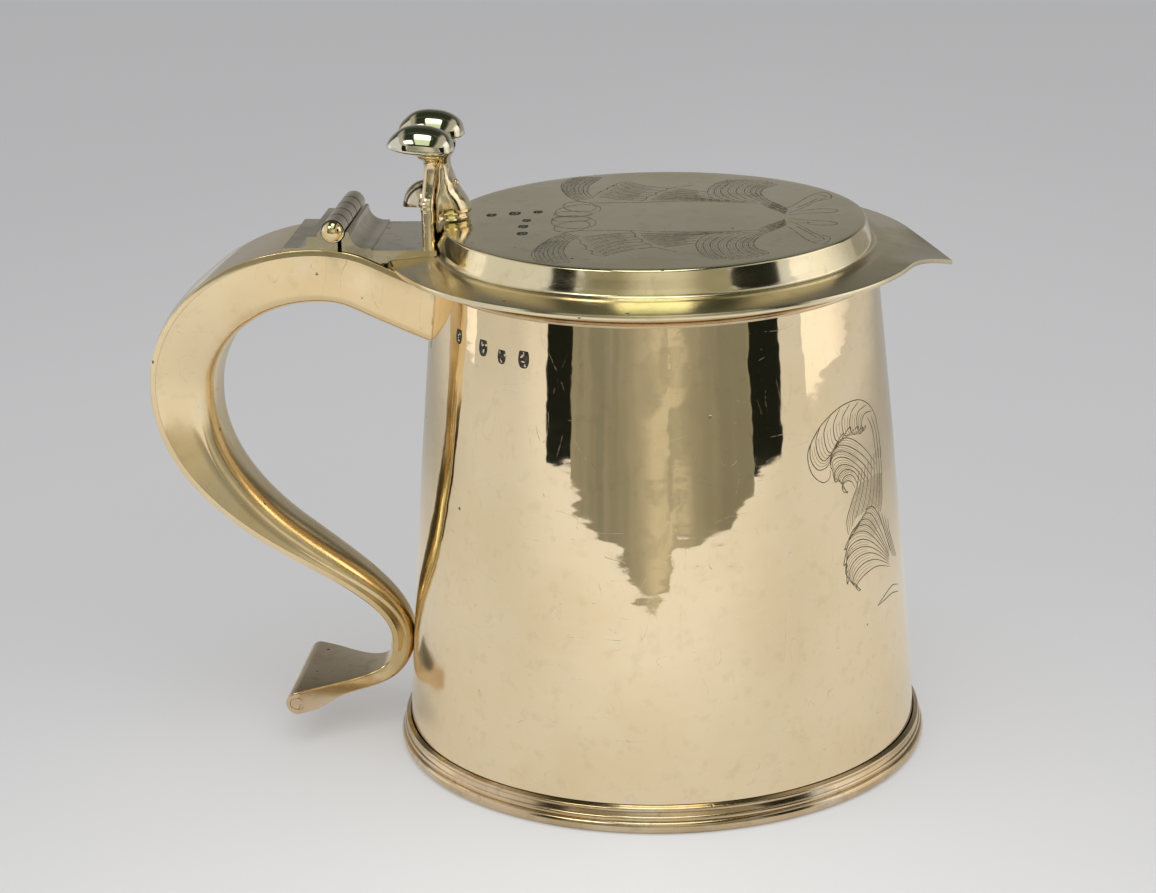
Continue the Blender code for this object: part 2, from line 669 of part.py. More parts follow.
def build_knuckles(body, lid):
    pitch = BARREL_LENGTH / KNUCKLE_COUNT
    bore = PIN_RADIUS + PIN_CLEARANCE
    for index in range(KNUCKLE_COUNT):
        low = -BARREL_LENGTH / 2 + pitch * index + KNUCKLE_GAP / 2
        high = low + pitch - KNUCKLE_GAP
        bevel = BARREL_RADIUS * 0.1
        outline = [(bore, low), (BARREL_RADIUS - bevel, low), (BARREL_RADIUS, low + bevel),
                   (BARREL_RADIUS, high - bevel), (BARREL_RADIUS - bevel, high), (bore, high)]
        owner, anchor = (("handle", body), ("lid", lid))[index % 2]
        name = f"hinge_knuckle_{owner}_{index // 2 + 1}"
        add_piece(name, lay_along_hinge(spin_ring(outline, BARREL_SEGMENTS)), anchor, GILT_TOP)


def build_pin(body):
    # Riveted pin: a shank through every knuckle with a domed head at each end.
    seat = BARREL_LENGTH / 2 - KNUCKLE_GAP / 2 + SEAM_GAP
    dome = [(PIN_HEAD_RADIUS * math.cos(a), seat + PIN_HEAD_HEIGHT * math.sin(a))
            for a in (math.pi / 2 * step / ARC_STEPS for step in range(ARC_STEPS + 1))]
    far = [(PIN_RADIUS, seat)] + dome[:-1] + [(0, seat + PIN_HEAD_HEIGHT)]
    near = [(radius, -z) for radius, z in reversed(far)]
    add_piece("hinge_pin", lay_along_hinge(spin_solid(near + far, BARREL_SEGMENTS)), body, GILT_BALL, 0.12)


# Thumbpiece

def oval_section(centre_x, half_x, half_y, z, squareness=1.0):
    # Level oval loop; squareness below one fills out its corners.
    points = []
    for angle in (math.tau * step / 16 for step in range(16)):
        c = math.cos(angle)
        s = math.sin(angle)
        x = math.copysign(abs(c) ** squareness, c) * half_x
        y = math.copysign(abs(s) ** squareness, s) * half_y
        points.append(Vector((centre_x + x, y, z)))
    return points


def stem_shift(z):
    # The stem leans toward the lid above its collar.
    share = max(z - collar_z, 0.0) / (stem_top_z - collar_z)
    return STEM_LEAN * smooth_share(min(share, 1.0))


def build_stem(lid):
    waist_z = blend(collar_z, stem_top_z, 0.78)
    rib = STEM_THICKNESS * STEM_RIB_SHARE
    rib_z = STEM_THICKNESS * 0.25
    widths = [(stem_base_z, STEM_WIDTH), (collar_z, STEM_WIDTH * 0.94), (waist_z, STEM_WAIST_WIDTH),
              (stem_top_z, STEM_TOP_WIDTH)]
    heights = [blend(stem_base_z, collar_z - 2 * rib_z, step / 2) for step in range(3)]
    heights += [collar_z - rib_z, collar_z, collar_z + rib_z]
    heights += [blend(collar_z + 2 * rib_z, stem_top_z, step / 7) for step in range(8)]
    sections = []
    for z in heights:
        swell = rib if abs(z - collar_z) < rib_z * 0.5 else 0.0
        half_x = STEM_THICKNESS / 2 + swell / 2
        centre = stem_front_x - STEM_THICKNESS / 2 - swell / 2 + stem_shift(z)
        sections.append(oval_section(centre, half_x, through(widths, z) / 2 + swell, z, squareness=0.5))
    add_piece("thumbpiece_stem", loft(sections), lid, GILT_SIDE)


def build_spur(lid):
    # Hooded leaf on the handle side of the stem: pointed half ovals that shrink upward to the stem.
    sections = []
    for step in range(ARC_STEPS + 1):
        share = step / ARC_STEPS * 0.96
        z = collar_z + SPUR_RISE * share
        fullness = math.sqrt(1 - share * share)
        back_x = stem_front_x - STEM_THICKNESS + stem_shift(z) - STEM_THICKNESS * STEM_RIB_SHARE - SEAM_GAP
        loop = []
        for angle in (math.pi * turn / 8 for turn in range(9)):
            reach = SPUR_LENGTH * fullness * math.sin(angle) ** 1.4
            loop.append(Vector((back_x - reach, -SPUR_WIDTH / 2 * fullness * math.cos(angle), z)))
        sections.append(loop)
    add_piece("thumbpiece_spur", loft(sections), lid, GILT_TOP)


def build_scroll(lid):
    # Baluster on the lid side: ringed foot on the lid's top, swelling bulb, bud and thin neck.
    foot_z = lid_top_z + LID_DOME + SEAM_GAP
    span = stem_top_z - foot_z
    front = [(0.0, 0.93), (0.03, 0.98), (0.06, 0.92), (0.11, 1.0), (0.2, 0.95), (0.27, 0.88), (0.41, 0.7),
             (0.51, 0.54), (0.58, 0.44), (0.64, 0.26), (0.72, 0.16), (0.84, 0.05), (1.0, 0.26)]
    width = [(0.0, 0.9), (0.03, 0.95), (0.06, 0.88), (0.11, 1.0), (0.27, 0.92), (0.46, 0.72), (0.8, 0.6),
             (1.0, 1.3)]
    sections = []
    for share, reach in front:
        z = foot_z + span * share
        back_x = stem_front_x + stem_shift(z) + SEAM_GAP
        front_x = back_x + SCROLL_NECK_THICKNESS + (SCROLL_LENGTH - SCROLL_NECK_THICKNESS) * reach
        half_x = (front_x - back_x) / 2
        sections.append(oval_section(back_x + half_x, half_x, SCROLL_WIDTH / 2 * through(width, share), z))
    add_piece("thumbpiece_scroll", loft(sections), lid, GILT_SIDE)


def build_cusps(lid):
    # Two domed lobes on the stem's forked top, pointed toward the handle.
    middle_x = stem_front_x - STEM_THICKNESS / 2 + STEM_LEAN
    tip_x = middle_x - CUSP_TIP_REACH
    rest_z = stem_top_z + SEAM_GAP + CUSP_DROP + CUSP_TILT / 4
    plan = [(0.0, 0.03), (0.05, 0.28), (0.12, 0.52), (0.25, 0.82), (0.4, 0.97), (0.55, 1.0), (0.7, 0.95),
            (0.85, 0.74), (0.95, 0.42), (1.0, 0.06)]
    for name, side in (("near", -1), ("far", 1)):
        centre_y = side * CUSP_SPACING / 2
        sections = []
        for share, fullness in plan:
            x = tip_x + CUSP_LENGTH * share
            middle_z = rest_z + CUSP_TILT * (0.6 - share)
            loop = []
            for angle in (math.tau * turn / 16 for turn in range(16)):
                lift = CUSP_RISE if math.sin(angle) > 0 else CUSP_DROP
                y = centre_y + CUSP_WIDTH / 2 * fullness ** 0.7 * math.cos(angle)
                loop.append(Vector((x, y, middle_z + lift * fullness ** 0.8 * math.sin(angle))))
            sections.append(loop)
        add_piece(f"thumbpiece_cusp_{name}", loft(sections), lid, GILT_TOP)


# Cutters

def seat_cutter(body):
    # Space kept by the drum and its lip, for the handle's ends.
    low_lip = DRUM_MOUTH_HEIGHT - LIP_HEIGHT - SEAM_GAP
    top_z = hinge_z
    heights = [blend(FOOT_HEIGHT, low_lip, step / ARC_STEPS) for step in range(ARC_STEPS + 1)]
    side = [(drum_radius(z) + SEAM_GAP, z) for z in heights]
    outline = [(0, FOOT_HEIGHT)] + side
    outline += [(lip_radius + SEAM_GAP, low_lip), (lip_radius + SEAM_GAP, top_z), (0, top_z)]
    return add_cutter("drum_space", spin_solid(outline), body)


def lid_cutter(lid):
    # Space kept by the flange and crown, for the lid's hinge plate.
    low_z = lid_rest_z - FLANGE_FALL - SEAM_GAP
    wall = crown_foot_radius + SEAM_GAP
    rim = flange_radius + SEAM_GAP
    seat = blend(crown_foot_radius + CROWN_COVE_RADIUS, flange_radius, flange_seat_share)
    outline = [(0, low_z), (rim, low_z), (rim, flange_rim_z + SEAM_GAP), (seat, flange_top_z + SEAM_GAP),
               (wall + CROWN_COVE_RADIUS, flange_top_z + SEAM_GAP),
               (wall, flange_top_z + CROWN_COVE_RADIUS + SEAM_GAP), (wall, hinge_z), (0, hinge_z)]
    return add_cutter("lid_space", spin_solid(outline), lid)


def main():
    clear_scene()
    root = add_anchor("tankard", (0, 0, 0))
    lid = add_anchor("lid_pivot", (hinge_x, 0, hinge_z), root)
    root.location.x = body_offset_x
    knots = handle_knots()
    drum_space = seat_cutter(root)
    lid_space = lid_cutter(lid)
    build_drum(root)
    build_base(root)
    build_foot(root)
    build_lip(root)
    build_handle_channel(root, knots, drum_space)
    build_handle_strap(root, knots, drum_space)
    build_handle_tail(root, knots, drum_space)
    build_handle_plate(root, knots)
    build_knuckles(root, lid)
    build_pin(root)
    build_lid(lid)
    build_bezel(lid)
    build_lid_plate(lid, knots, lid_space)
    build_stem(lid)
    build_spur(lid)
    build_scroll(lid)
    build_cusps(lid)


main()
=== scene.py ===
import math

import bmesh
import bpy
from mathutils import Matrix, Vector, noise


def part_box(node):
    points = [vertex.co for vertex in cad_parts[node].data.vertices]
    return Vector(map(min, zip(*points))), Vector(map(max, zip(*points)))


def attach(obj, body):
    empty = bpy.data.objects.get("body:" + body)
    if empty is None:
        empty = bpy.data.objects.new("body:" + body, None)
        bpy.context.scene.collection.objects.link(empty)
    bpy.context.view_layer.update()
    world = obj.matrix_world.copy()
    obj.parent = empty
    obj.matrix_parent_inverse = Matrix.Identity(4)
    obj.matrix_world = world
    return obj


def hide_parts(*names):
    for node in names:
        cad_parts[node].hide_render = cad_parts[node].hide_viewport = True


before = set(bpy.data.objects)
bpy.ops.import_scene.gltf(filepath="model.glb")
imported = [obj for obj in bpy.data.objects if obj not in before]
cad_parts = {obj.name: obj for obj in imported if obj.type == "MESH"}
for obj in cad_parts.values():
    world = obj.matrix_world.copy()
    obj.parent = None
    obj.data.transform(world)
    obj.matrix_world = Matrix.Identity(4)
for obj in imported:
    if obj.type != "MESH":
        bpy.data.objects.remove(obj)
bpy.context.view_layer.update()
drumLow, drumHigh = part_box("body_drum")
axisX = (drumLow[0] + drumHigh[0]) / 2
print("stage frame", len(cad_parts), "nodes")

# Shapes are drawn in millimetres about the drum's axis, then brought to the frame
toFrame = Matrix.Translation((axisX, 0, 0)) @ Matrix.Scale(0.001, 4)
seam = 0.3


# Shader sockets with arithmetic
class Wire:
    def __init__(self, tree, out):
        self.tree, self.out = tree, out

    def make(self, kind, settings, sockets, output=0):
        node = self.tree.nodes.new(kind)
        for key, value in settings.items():
            setattr(node, key, value)
        for key, value in sockets.items():
            if isinstance(value, Wire):
                self.tree.links.new(value.out, node.inputs[key])
            else:
                node.inputs[key].default_value = value
        return Wire(self.tree, node.outputs[output])

    def maths(self, operation, *values):
        return self.make("ShaderNodeMath", {"operation": operation}, dict(enumerate(values)))

    def __add__(self, other):
        return self.maths("ADD", self, other)

    def __sub__(self, other):
        return self.maths("SUBTRACT", self, other)

    def __rsub__(self, other):
        return self.maths("SUBTRACT", other, self)

    def __mul__(self, other):
        return self.maths("MULTIPLY", self, other)

    __radd__ = __add__
    __rmul__ = __mul__

    def rise(self, low, high):
        return self.make("ShaderNodeMapRange", {"interpolation_type": "SMOOTHSTEP"},
                         {0: self, 1: low, 2: high, 3: 0.0, 4: 1.0})

    def near(self, level, width):
        return 1 - self.maths("ABSOLUTE", self - level).rise(0.0, width)

    def pick(self, first, second):
        # a plain colour is given its alpha
        first, second = [item if isinstance(item, Wire) else (*item, 1.0) for item in (first, second)]
        return self.make("ShaderNodeMix", {"data_type": "RGBA"}, {0: self, 6: first, 7: second}, 2)

    def scaled(self, factors):
        return self.make("ShaderNodeVectorMath", {"operation": "MULTIPLY"}, {0: self, 1: factors})

    def part(self, axis):
        return self.make("ShaderNodeSeparateXYZ", {}, {0: self}, axis)

    def cloud(self, scale, detail=2.0, rough=0.5):
        return self.make("ShaderNodeTexNoise", {},
                         {"Vector": self, "Scale": scale, "Detail": detail, "Roughness": rough})

    def cells(self, scale, output=0):
        return self.make("ShaderNodeTexVoronoi", {"feature": "F1"}, {"Vector": self, "Scale": scale}, output)


def newMaterial(name):
    material = bpy.data.materials.new(name)
    material.use_nodes = True
    tree = material.node_tree
    tree.nodes.clear()
    place = tree.nodes.new("ShaderNodeTexCoord")
    return material, Wire(tree, place.outputs["Object"])


def toSurface(shader):
    shown = shader.tree.nodes.new("ShaderNodeOutputMaterial")
    shader.tree.links.new(shader.out, shown.inputs["Surface"])


def toGlow(tint):
    toSurface(tint.make("ShaderNodeEmission", {}, {"Color": tint, "Strength": 1.0}))


# Gilt finishes: base tint, tarnish tint and how worn each one is, with painted shade in the mouldings' tint
giltLooks = {
    "giltDrum": {"tint": (0.93, 0.765, 0.515), "tarnish": (0.89, 0.72, 0.465), "silver": (0.91, 0.80, 0.61),
                 "rough": 0.035, "worn": 0.25, "pits": 0.10, "ripple": 0.12, "streak": 0.06},
    # the mouldings' tint is darker than the drum's; on the lip this darkness is painted shade under the lid's flange
    "giltFoot": {"tint": (0.70, 0.545, 0.36), "tarnish": (0.58, 0.44, 0.26), "silver": (0.78, 0.69, 0.55),
                 "rough": 0.15, "worn": 0.60, "pits": 0.20, "ripple": 0.25},
    "giltLid": {"tint": (0.84, 0.74, 0.50), "tarnish": (0.80, 0.67, 0.41), "silver": (0.84, 0.78, 0.62),
                "rough": 0.10, "worn": 0.40, "pits": 0.25, "ripple": 0.14},
    "giltHandle": {"tint": (0.91, 0.74, 0.47), "tarnish": (0.83, 0.64, 0.37), "silver": (0.88, 0.79, 0.62),
                   "rough": 0.08, "worn": 0.25, "pits": 0.22, "ripple": 0.14},
    "giltTail": {"tint": (0.79, 0.645, 0.445), "tarnish": (0.68, 0.51, 0.34), "silver": (0.84, 0.70, 0.56),
                 "rough": 0.15, "worn": 0.55, "pits": 0.50, "ripple": 0.25},
    "giltHinge": {"tint": (0.78, 0.70, 0.54), "tarnish": (0.52, 0.44, 0.30), "silver": (0.74, 0.70, 0.62),
                  "rough": 0.15, "worn": 0.50, "pits": 0.35, "ripple": 0.25, "streak": 0.10},
    "giltThumb": {"tint": (0.75, 0.72, 0.59), "tarnish": (0.71, 0.65, 0.48), "silver": (0.77, 0.76, 0.70),
                  "rough": 0.05, "worn": 0.40, "pits": 0.05, "ripple": 0.06},
    "giltBall": {"tint": (0.92, 0.79, 0.48), "tarnish": (0.86, 0.70, 0.40), "silver": (0.90, 0.82, 0.62),
                 "rough": 0.07, "worn": 0.20, "pits": 0.05, "ripple": 0.02},
    "giltWorn": {"tint": (0.93, 0.81, 0.58), "tarnish": (0.66, 0.50, 0.29), "silver": (0.88, 0.80, 0.64),
                 "rough": 0.15, "worn": 0.55, "pits": 0.60, "ripple": 0.45},
    "giltScroll": {"tint": (0.88, 0.74, 0.48), "tarnish": (0.46, 0.33, 0.17), "silver": (0.88, 0.80, 0.62),
                   "rough": 0.14, "worn": 0.80, "pits": 0.80, "ripple": 0.90},
    "giltInside": {"tint": (0.80, 0.64, 0.38), "tarnish": (0.64, 0.48, 0.26), "silver": (0.76, 0.68, 0.50),
                   "rough": 0.22, "worn": 0.30, "pits": 0.10, "ripple": 0.10},
}
# Where dirt, wear and painted shade lie, in metres: heights, and distances from the drum's axis or from the middle
# plane
wear = {"rootTint": (0.58, 0.42, 0.19), "rootHeights": (0.066, 0.034), "rootReach": (-0.084, -0.071),
        "peakTint": (0.44, 0.40, 0.29), "peakHeights": (0.1375, 0.1360), "peakReach": (0.062, 0.071),
        "goldEdge": (0.0158, 0.0162), "knucklePitch": 0.0068, "gapShadeTint": (0.06, 0.05, 0.035),
        "gapShadeWidth": (0.0006, 0.0002), "gapShadeHeights": (0.1432, 0.1440), "scratchTint": (0.10, 0.08, 0.05),
        "handRub": 0.10, "handHeights": (0.060, 0.035), "handReach": (-0.040, -0.058),
        "flangeRub": 0.10, "flangeHeights": (0.1382, 0.1370), "fingerRub": 0.16}


def giltMaterial(name, look):
    material, spot = newMaterial(name)

    def within(axis, limits):
        shift = axisX if axis == 0 else 0.0
        return spot.part(axis).rise(limits[0] + shift, limits[1] + shift)
    drift = spot.cloud(28.0, 3.0)
    patch = spot.cloud(75.0, 4.0, 0.6)
    fine = spot.cloud(900.0, 2.0)
    tint = drift.rise(0.42, 0.66).pick(look["tint"], look["tarnish"])
    tint = (patch.rise(0.50, 0.72) * look["worn"]).pick(tint, look["silver"])
    if name in ("giltHandle", "giltTail"):  # dirt gathers where the handle meets the drum
        root = within(2, wear["rootHeights"]) * within(0, wear["rootReach"])
        tint = (root * 0.85).pick(tint, wear["rootTint"])
    grime = spot.cloud(240.0, 3.0, 0.6).rise(0.52, 0.74) * look["worn"]
    tint = (grime * 0.8).pick(tint, [value * 0.72 for value in look["tarnish"]])
    if name == "giltLid":  # the peak is browner than the rest
        tip = within(0, wear["peakReach"]) * within(2, wear["peakHeights"])
        tint = (tip * 0.6).pick(tint, wear["peakTint"])
    if name == "giltHinge":  # worn to gold at the plates' ends, with painted shade in the gaps between the knuckles
        across = spot.part(1)
        edge = across.maths("ABSOLUTE", across).rise(*wear["goldEdge"])
        tint = (edge * patch.rise(0.30, 0.52)).pick(tint, giltLooks["giltWorn"]["tint"])
        half = wear["knucklePitch"] / 2
        ends = across.maths("PINGPONG", across + half, half).rise(*wear["gapShadeWidth"])
        # the near-black lines at the knuckles' gaps are painted shade
        tint = (ends * within(2, wear["gapShadeHeights"])).pick(tint, wear["gapShadeTint"])
    # hairline scratches follow the level lines of slow noise, broken by patches
    lineOne = spot.scaled((60.0, 60.0, 200.0)).cloud(1.0, 0.0).near(0.5, 0.0035)
    lineTwo = spot.scaled((230.0, 190.0, 70.0)).cloud(1.0, 0.0).near(0.46, 0.0045)
    hair = (lineOne * patch.rise(0.54, 0.60) + lineTwo * patch.rise(0.47, 0.40)) * fine.rise(0.35, 0.6)
    cellPick = spot.cells(260.0, 1).part(0).rise(1.0 - look["pits"] * 0.3, 1.0)
    pit = spot.cells(260.0).rise(0.16, 0.08) * cellPick
    tint = (hair * 0.35 + pit * 0.85).pick(tint, wear["scratchTint"])
    rough = drift * 0.03 + fine * 0.02 + hair * 0.08 + pit * 0.3 + grime * 0.05 + look["rough"] - 0.02
    if name == "giltDrum":  # duller where the hand rubs, beside the handle's root
        rough = rough + within(2, wear["handHeights"]) * within(0, wear["handReach"]) * wear["handRub"]
    if name == "giltLid":  # the flange is softer than the crown
        rough = rough + within(2, wear["flangeHeights"]) * wear["flangeRub"]
    if name == "giltHandle":  # the finger side is rubbed dull
        rubbed = spot.make("ShaderNodeAttribute", {"attribute_name": "rubbed"}, {}, "Fac")
        rough = rough + rubbed * wear["fingerRub"]
    height = patch * look["ripple"] + spot.cloud(260.0, 2.0) * look["ripple"] * 0.3 - pit * 0.6 - hair * 0.05
    height = height + spot.scaled((70.0, 70.0, 310.0)).cloud(1.0, 2.0) * look.get("streak", 0.0)
    bump = height.make("ShaderNodeBump", {}, {"Strength": 1.0, "Distance": 0.0001, "Height": height})
    toSurface(tint.make("ShaderNodeBsdfPrincipled", {},
                        {"Base Color": tint, "Metallic": 1.0, "Roughness": rough, "Normal": bump}))
    return material


gilt = {name: giltMaterial(name, look) for name, look in giltLooks.items()}
print("stage finishes", len(gilt))


# Shape helpers
def blend(start, end, share):
    return start + (end - start) * share


def ease(share):
    share = min(max(share, 0.0), 1.0)
    return share * share * (3 - 2 * share)


def through(stops, position):
    # value on a smooth curve through (position, value) stops, level at both ends
    if position <= stops[0][0]:
        return stops[0][1]
    if position >= stops[-1][0]:
        return stops[-1][1]
    slopes = [0.0]
    slopes += [(b[1] - a[1]) / (b[0] - a[0]) for a, b in zip(stops, stops[2:])] + [0.0]
    index = max(i for i, stop in enumerate(stops) if stop[0] <= position)
    (here, value), (there, following) = stops[index:index + 2]
    span = there - here
    t = (position - here) / span
    return blend(value, following, ease(t)) + span * t * (1 - t) * (slopes[index] * (1 - t) - slopes[index + 1] * t)


def arc(centre, radius, start, end, steps=8):
    angles = [math.radians(blend(start, end, step / steps)) for step in range(steps + 1)]
    return [(centre[0] + radius * math.cos(a), centre[1] + radius * math.sin(a)) for a in angles]


def swelling(low, high, base, bulge, steps=12):
    # half-round moulding as (radius, z)
    angles = [math.pi * (step / steps - 0.5) for step in range(steps + 1)]
    return [(base + bulge * math.cos(a), (low + high) / 2 + (high - low) / 2 * math.sin(a)) for a in angles]


def finely(points, gap, closed=True):
    # the same outline with points no further apart than the gap
    dense = []
    after = points[1:] + points[:1] if closed else points[1:]
    for (ax, az), (bx, bz) in zip(points, after):
        count = max(1, math.ceil(math.hypot(bx - ax, bz - az) / gap))
        dense += [(blend(ax, bx, k / count), blend(az, bz, k / count)) for k in range(count)]
    return dense if closed else dense + [points[-1]]


def turned(profile, steps=192):
    bm = bmesh.new()
    verts = [bm.verts.new((radius, 0, z)) for radius, z in profile]
    edges = [bm.edges.new(pair) for pair in zip(verts, verts[1:] + verts[:1])]
    bmesh.ops.spin(bm, geom=verts + edges, cent=(0, 0, 0), axis=(0, 0, 1), angle=math.tau, steps=steps,
                   use_merge=True)
    bmesh.ops.remove_doubles(bm, verts=bm.verts, dist=0.0001)
    return bm


def rolled(bm, across, along, place):
    # a grid rolled up so that its first and last columns meet
    grid = bmesh.ops.create_grid(bm, x_segments=across, y_segments=along, size=1.0)
    for vert in grid["verts"]:
        vert.co = place(round((vert.co.x + 1) / 2 * across), (vert.co.y + 1) / 2)


def closed(bm):
    bmesh.ops.remove_doubles(bm, verts=bm.verts, dist=0.0001)
    bmesh.ops.holes_fill(bm, edges=[edge for edge in bm.edges if edge.is_boundary], sides=0)
    return bm


def wrapped(across, along, place):
    bm = bmesh.new()
    rolled(bm, across, along, place)
    return closed(bm)


def finish(name, bm, look, body, nodes=(), sharp=32.0):
    bmesh.ops.transform(bm, matrix=toFrame, verts=bm.verts)
    bmesh.ops.recalc_face_normals(bm, faces=bm.faces)
    mesh = bpy.data.meshes.new(name)
    bm.to_mesh(mesh)
    bm.free()
    mesh.shade_smooth()
    mesh.set_sharp_from_angle(angle=math.radians(sharp))
    mesh.materials.append(look if isinstance(look, bpy.types.Material) else gilt[look])
    piece = bpy.data.objects.new(name, mesh)
    bpy.context.collection.objects.link(piece)
    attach(piece, body)
    if nodes:
        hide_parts(*nodes)


# Drum with its hammered skin
drumSizes = {"floor": 3.3, "mouth": 135.0, "baseRadius": 69.0, "mouthRadius": 57.7, "bulge": 0.6, "wall": 1.2,
             "hammer": 0.10, "hammerSpan": 19.0, "fade": 8.0}


def drumRadius(z):
    s = drumSizes
    share = (z - s["floor"]) / (s["mouth"] - s["floor"])
    return blend(s["baseRadius"], s["mouthRadius"], share) + s["bulge"] * 4 * share * (1 - share)


def hammered(place, depth, span):
    broad = noise.noise(place / span)
    small = noise.noise(place / (span * 0.42) + Vector((31, 7, 12)))
    fine = noise.noise(Vector((place.x, place.y, place.z * 2.2)) / (span * 0.2) + Vector((5, 19, 3)))
    return depth * (broad + small * 0.4 + fine * 0.14)


def hammeredDrum(place):
    # the hammering dies out toward both ends
    s = drumSizes
    fade = min(s["fade"], s["mouth"] - place.z, place.z - s["floor"]) / s["fade"]
    return hammered(place, s["hammer"], s["hammerSpan"]) * max(fade, 0.0)


def buildDrum():
    s = drumSizes
    heights = [blend(s["floor"], s["mouth"], k / 160) for k in range(161)]
    outer = [(drumRadius(z), z) for z in heights]
    inner = [(drumRadius(z) - s["wall"], z) for z in reversed(heights[::8])]
    bm = turned(outer + inner, 440)
    for vert in bm.verts:
        out = Vector((vert.co.x, vert.co.y, 0))
        if out.length > drumRadius(vert.co.z) - s["wall"] / 2:
            vert.co += out.normalized() * hammeredDrum(vert.co)
    finish("drum", bm, "giltDrum", "vessel", ["body_drum"])


# Base plate, foot and lip mouldings
baseSizes = {"thickness": 1.2, "crown": 1.5}
footSizes = {"height": 7.2, "ledge": 3.0, "projection": 2.2, "seat": 3.5}
lipSizes = {"height": 5.7, "projection": 2.3}


def buildBase():
    rim = drumRadius(drumSizes["floor"]) - drumSizes["wall"] - seam
    shares = [k / 24 for k in range(25)]
    under = [(rim * s, drumSizes["floor"] + baseSizes["crown"] * (1 - s * s)) for s in shares]
    upper = [(radius, z + baseSizes["thickness"]) for radius, z in reversed(under)]
    finish("base", turned(under + upper, 128), "giltInside", "vessel", ["body_base"])


def buildFoot():
    s = footSizes
    high, wide, low = s["height"], s["projection"], drumSizes["baseRadius"] + seam
    inside = drumRadius(drumSizes["floor"]) - drumSizes["wall"] - s["seat"]
    profile = [(inside, 0.0), (low + wide * 0.45, 0.0)]
    profile += swelling(high * 0.04, high * 0.46, low + wide * 0.5, wide * 0.5)
    profile += [(low + wide * 0.60, high * 0.48), (low + wide * 0.64, high * 0.51)]
    profile += arc((low + wide * 0.30, high * 0.55), wide * 0.36, 0, 70, 8)
    profile += [(low + wide * 0.27, high * 0.76)]
    profile += swelling(high * 0.79, high * 0.96, low + wide * 0.2, wide * 0.24, 8)
    profile += [(drumRadius(high) + seam, high), (drumRadius(s["ledge"]) + seam, s["ledge"]), (inside, s["ledge"])]
    finish("foot", turned(profile), "giltFoot", "vessel", ["foot_moulding"], 40.0)


def buildLip():
    s = lipSizes
    low = drumSizes["mouth"] - s["height"]
    base, high, wide = drumSizes["mouthRadius"] + seam, s["height"], s["projection"]
    profile = [(drumRadius(low) + seam, low)]
    profile += swelling(low + high * 0.02, low + high * 0.24, base + wide * 0.28, wide * 0.3, 8)
    profile += swelling(low + high * 0.28, low + high * 0.84, base + wide * 0.4, wide * 0.6)
    profile += [(base + wide * 0.35, drumSizes["mouth"]), (base, drumSizes["mouth"])]
    finish("lip", turned(profile), "giltFoot", "vessel", ["lip_moulding"], 40.0)


# Lid: flat stepped crown, sloping flange and pointed peak
lidSizes = {"rest": 135.3, "height": 7.7, "sheet": 1.2, "dome": 0.4, "footRadius": 57.0, "taper": 1.8, "edge": 0.7,
            "cove": 1.2, "rim": 69.3, "seatShare": 0.2035, "fall": 1.0, "reach": 8.2, "droop": 4.0, "halfAngle": 17.0,
            "hammer": 0.03, "hammerSpan": 21.0, "fade": 6.0, "rimRound": 0.15}
lidTop = lidSizes["rest"] + lidSizes["height"]
flangeTop = lidSizes["rest"] + lidSizes["sheet"]
lidFlat = lidSizes["footRadius"] - lidSizes["taper"] - lidSizes["edge"]


def flangeShare(radius):
    inner = lidSizes["footRadius"] + lidSizes["cove"]
    return min(max((radius - inner) / (lidSizes["rim"] - inner), 0.0), 1.0)


def flangeFall(share):
    # level over the lip, then sloping to the rim
    s = lidSizes
    return s["fall"] * max(share - s["seatShare"], 0.0) / (1 - s["seatShare"])


def lidTopAt(x, y):
    s = lidSizes
    radius = math.hypot(x, y)
    fade = min(1.0, max(lidFlat - radius, 0.0) / s["fade"])
    skin = hammered(Vector((x, y, 0)), s["hammer"], s["hammerSpan"]) * fade
    return lidTop + s["dome"] * (1 - (radius / lidFlat) ** 2) + skin


def buildLid():
    s = lidSizes
    topRadius = s["footRadius"] - s["taper"]
    flat, half = lidFlat, math.radians(s["halfAngle"])
    face = [(flat * k / 30, lidTop + s["dome"] * (1 - (k / 30) ** 2)) for k in range(30)]
    face += arc((flat, lidTop - s["edge"]), s["edge"], 90, 10, 6)
    face += finely([(topRadius, lidTop - s["edge"]), (s["footRadius"], flangeTop + s["cove"])], 1.0, False)[1:]
    face += arc((s["footRadius"] + s["cove"], flangeTop + s["cove"]), s["cove"], 190, 270, 8)
    inner = s["footRadius"] + s["cove"]
    flange = [(blend(inner, s["rim"], k / 14), flangeTop - flangeFall(k / 14)) for k in range(1, 15)]
    edge = [(s["rim"], flange[-1][1] - s["sheet"] * 0.5)]
    under = [(radius, z - s["sheet"]) for radius, z in reversed(flange)]
    under += [(s["footRadius"] - s["sheet"], s["rest"]),
              (topRadius - s["sheet"], lidTop - s["edge"] - s["sheet"])]
    under += [(flat * k / 8, lidTop - s["sheet"] + s["dome"] * (1 - (k / 8) ** 2)) for k in range(8, -1, -1)]
    for corner, index in ((flange, -1), (under, 0)):
        corner[index] = (s["rim"] - s["rimRound"], corner[index][1])
    bm = turned(face + flange + edge + under, 360)
    for vert in bm.verts:
        radius = math.hypot(vert.co.x, vert.co.y)
        share = flangeShare(radius) if vert.co.z < flangeTop + 0.01 else 0.0
        if share:
            point = (1 - min(abs(math.atan2(vert.co.y, vert.co.x)) / half, 1.0)) ** 2
            grow = (radius + s["reach"] * point * share) / radius
            vert.co = (vert.co.x * grow, vert.co.y * grow, vert.co.z - s["droop"] * point * share * share)
        elif radius < flat and vert.co.z > lidTop - s["sheet"] / 2:
            vert.co.z = lidTopAt(vert.co.x, vert.co.y)
    finish("lidCover", bm, "giltLid", "lid", ["lid_cover"])


bezelSizes = {"radius": 55.5, "depth": 5.2, "rise": 3.8, "wall": 1.1}


